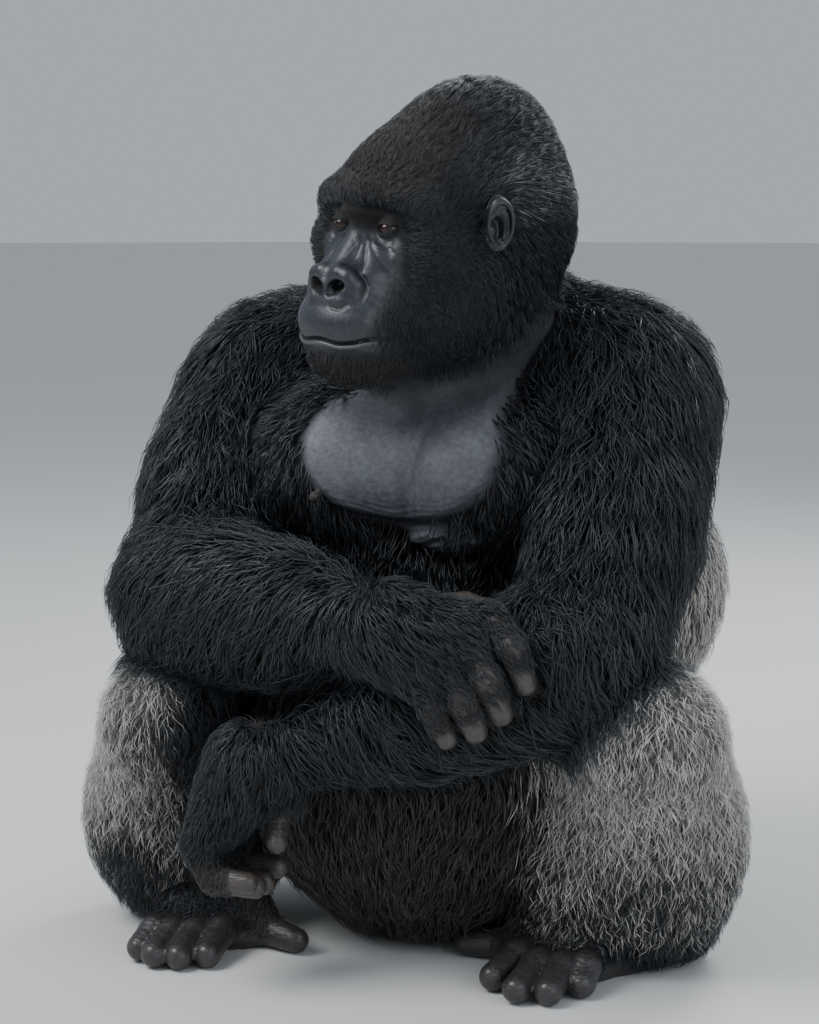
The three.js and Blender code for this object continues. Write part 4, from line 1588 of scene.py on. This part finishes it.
def skin_recipe():
    """Near black on face and under the coat, blue-grey on the breast, brown on fingers and toes."""
    r = Recipe("skin")
    haired, silver, warm, breast, hand, sole, lip, nipple, shade = [r.number(name) for name in (
        "haired", "silver", "warm", "breast", "hand", "sole", "lip", "nipple", "shade")]
    patchy = r.mixed(r.spread(r.noise(0.035), 0.3, 0.7), (0.062, 0.065, 0.080), (0.100, 0.104, 0.122))
    bare_foot = r.times(sole, r.math("SUBTRACT", 1.0, haired))
    colour = r.mixed(haired, (0.015, 0.018, 0.025), (0.005, 0.0055, 0.0065))
    for share, tint in ((r.times(haired, silver), (0.20, 0.194, 0.184)),
                        (r.times(warm, 0.7), (0.020, 0.014, 0.011)),
                        (breast, patchy),
                        (hand, (0.050, 0.042, 0.037)),
                        (bare_foot, (0.030, 0.028, 0.029)),
                        # painted highlight: a light grey band along the lower lip
                        (r.times(lip, 0.7), (0.085, 0.082, 0.085)),
                        (nipple, (0.034, 0.028, 0.028)),
                        # painted shade: near black in the nostrils, ear bowls, sockets under the brow and
                        # under the jaw
                        (shade, grey(0.004))):
        colour = r.mixed(share, colour, tint)
    mottle = r.mixed(r.spread(r.noise(0.006, 6.0), 0.3, 0.7), grey(0.72), grey(1.25))
    stubble = r.mixed(r.spread(r.noise(0.0014, 2.0), 0.40, 0.62), grey(0.30), grey(1.30))
    mottle = r.mixed(haired, mottle, stubble)
    rough = r.spread(r.noise(0.004, 5.0), 0.3, 0.7, 0.31, 0.50)
    for number, share in ((haired, 0.45), (breast, 0.16), (shade, 0.5)):
        rough = r.plus(rough, number, share)
    r.shade(Base_Color=r.mixed(1.0, colour, mottle, "MULTIPLY"), Roughness=rough, Specular_IOR_Level=0.6)
    grain = r.spread(r.cells(0.0022), 0.0, 0.35)
    coarse = r.spread(r.cells(0.006), 0.0, 0.18)
    wrinkle = r.noise(0.010, 5.0, (1.0, 1.0, 2.4))
    digits = r.math("MAXIMUM", hand, sole)
    across = r.noise(0.0045, 3.0, (0.5, 0.5, 1.6))
    fine = r.noise(0.0028, 3.0, (0.6, 0.6, 2.0))
    height = r.times(grain, 0.35)
    for relief, share in ((coarse, 0.30), (wrinkle, 1.1), (r.times(digits, across), 9.0),
                          (r.times(breast, fine), 3.5)):
        height = r.plus(height, relief, share)
    r.bump(height, 0.0006, 0.3)
    return r.material


# %% Hair
def hair_recipe():
    """Dark at the root and bluer at the tip, partly the hair's own colour and partly a painted bluish
    sheen; brown where it is warm; silver from grey to white.
    """
    r = Recipe("hair")
    along, tone, silver, warm = [r.number(name) for name in ("along", "tone", "silver", "warm")]
    tip = r.spread(along, 0.15, 1.0)
    # The lighter blue-grey tips of the black hair are partly its own colour and partly a painted bluish
    # sheen.
    black = r.mixed(tip, (0.008, 0.009, 0.011), (0.036, 0.043, 0.053))
    brown = r.mixed(tip, (0.014, 0.012, 0.011), (0.082, 0.069, 0.060))
    dark = r.mixed(warm, black, brown)
    white = r.mixed(r.spread(along, 0.05, 0.7), (0.24, 0.233, 0.222), (0.64, 0.62, 0.59))
    cream = r.mixed(r.spread(along, 0.0, 0.6), (0.34, 0.29, 0.20), (0.82, 0.76, 0.62))
    pale = r.mixed(r.spread(warm, 0.3, 0.8), white, cream)
    colour = r.mixed(1.0, r.mixed(silver, dark, pale), r.mixed(tone, grey(0.55), grey(1.45)), "MULTIPLY")
    r.shade(Base_Color=colour, Roughness=r.spread(tone, 0.0, 1.0, 0.34, 0.52), Specular_IOR_Level=0.55)
    r.bump(r.noise(0.0012, 2.0), 0.0002, 0.3)
    return r.material


# %% Eyes and nails
def eye_recipe():
    """Pupil, iris with streaks, dark ring and brown white, all by the angle from the line of sight."""
    r = Recipe("eye")
    angle = r.number("gaze_angle")
    streaks = r.noise(0.0012, 3.0)
    iris = r.mixed(streaks, (0.008, 0.003, 0.002), (0.038, 0.014, 0.006))
    colour = r.mixed(r.spread(angle, 0.16, 0.20), grey(0.001), iris)
    colour = r.mixed(r.spread(angle, 0.54, 0.62), colour, (0.004, 0.003, 0.003))
    white = r.mixed(r.noise(0.004), (0.014, 0.010, 0.008), (0.035, 0.024, 0.019))
    colour = r.mixed(r.spread(angle, 0.66, 0.78), colour, white)
    r.shade(Base_Color=colour, Roughness=r.spread(r.noise(0.002), 0.3, 0.7, 0.05, 0.12),
            Coat_Weight=0.5, Coat_Roughness=0.03, Specular_IOR_Level=0.3)
    r.bump(r.noise(0.003), 0.0002, 0.15)
    return r.material


def nail_recipe():
    """Horn: grey-brown with fine lengthwise grain, a little glossy."""
    r = Recipe("nail")
    grain = r.noise(0.0016, 4.0)
    r.shade(Base_Color=r.mixed(grain, (0.026, 0.022, 0.020), (0.070, 0.060, 0.053)),
            Roughness=r.spread(grain, 0.3, 0.7, 0.28, 0.42))
    r.bump(grain, 0.0003, 0.4)
    return r.material


for pieces, recipe in (([skin], skin_recipe), (coat, hair_recipe), (eyeballs, eye_recipe),
                       ([nails], nail_recipe)):
    material = recipe()
    for piece in pieces:
        piece.data.materials.append(material)
told("materials")

# %% [markdown]
# ## Floor, light and camera
# Black fur needs broad soft lights: a strip of brightness in each hair is what shows its lie. A big
# lamp above to the left does most, a wide weak one fills from the right, and one behind rims the
# shoulders.

# %% Floor, light and camera
FLOOR_RADIUS, FLOOR_SPOKES = 30000.0, 96
reach, turn = round_grid([FLOOR_RADIUS], FLOOR_SPOKES, 0.0)
ground = np.stack([reach * np.cos(turn), reach * np.sin(turn), np.full(len(turn), FLOOR)])
floor = make_mesh("floor", ground, fan(FLOOR_SPOKES, np.arange(FLOOR_SPOKES)), smooth_faces=False)
paper = Recipe("paper")
paper_colour = paper.mixed(paper.noise(0.4), (0.70, 0.70, 0.69), (0.74, 0.74, 0.73))
paper.shade(Base_Color=paper_colour, Roughness=0.9)
floor.data.materials.append(paper.material)
floor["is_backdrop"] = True

world = bpy.data.worlds.new("studio")
bpy.context.scene.world = world
world.use_nodes = True
background = world.node_tree.nodes["Background"]
background.inputs["Color"].default_value = (0.80, 0.87, 0.95, 1.0)
background.inputs["Strength"].default_value = 0.55

# %% Three lamps and the camera, all turned to the middle of the body
MIDDLE = Vector(((SHIFT + np.array([-11.8, -4.3, 525.0])) * MM).tolist())


def held(name, data, place):
    """A lamp or camera at a place, facing the middle of the body."""
    thing = bpy.data.objects.new(name, data)
    thing.location = place
    thing.rotation_euler = (MIDDLE - thing.location).to_track_quat("-Z", "Y").to_euler()
    bpy.context.scene.collection.objects.link(thing)
    return thing


def lamp(name, place, power, size, tint):
    """A square soft lamp."""
    light = bpy.data.lights.new(name, "AREA")
    light.energy = power
    light.size = size
    light.color = tint
    held(name, light, place)


lamp("key", (-1.5, -1.9, 3.0), 105.0, 2.0, (0.96, 0.98, 1.0))
lamp("fill", (2.6, -1.8, 1.6), 30.0, 2.2, (0.92, 0.96, 1.0))
lamp("rim", (0.8, 2.4, 2.6), 70.0, 1.6, (0.95, 0.98, 1.0))

AZIMUTH, HEIGHT_ANGLE, AWAY = np.radians(20.0), np.radians(8.0), 2.95
lens = bpy.data.cameras.new("camera")
lens.lens = 85.0
lens.sensor_width = 36.0
lens.sensor_fit = "AUTO"
toward_camera = Vector((np.sin(AZIMUTH) * np.cos(HEIGHT_ANGLE),
                        -np.cos(AZIMUTH) * np.cos(HEIGHT_ANGLE), np.sin(HEIGHT_ANGLE)))
bpy.context.scene.camera = held("camera", lens, MIDDLE + AWAY * toward_camera)

# %% [markdown]
# ## Size of what was made
# The hair tips should end where the solids do, and the box round everything made is printed.

# %% Size of what was made
bpy.context.view_layer.update()
MADE_BOX = [[float(c) for c in corner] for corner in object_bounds()]
told(f"made box {[[round(c, 4) for c in corner] for corner in MADE_BOX]}")
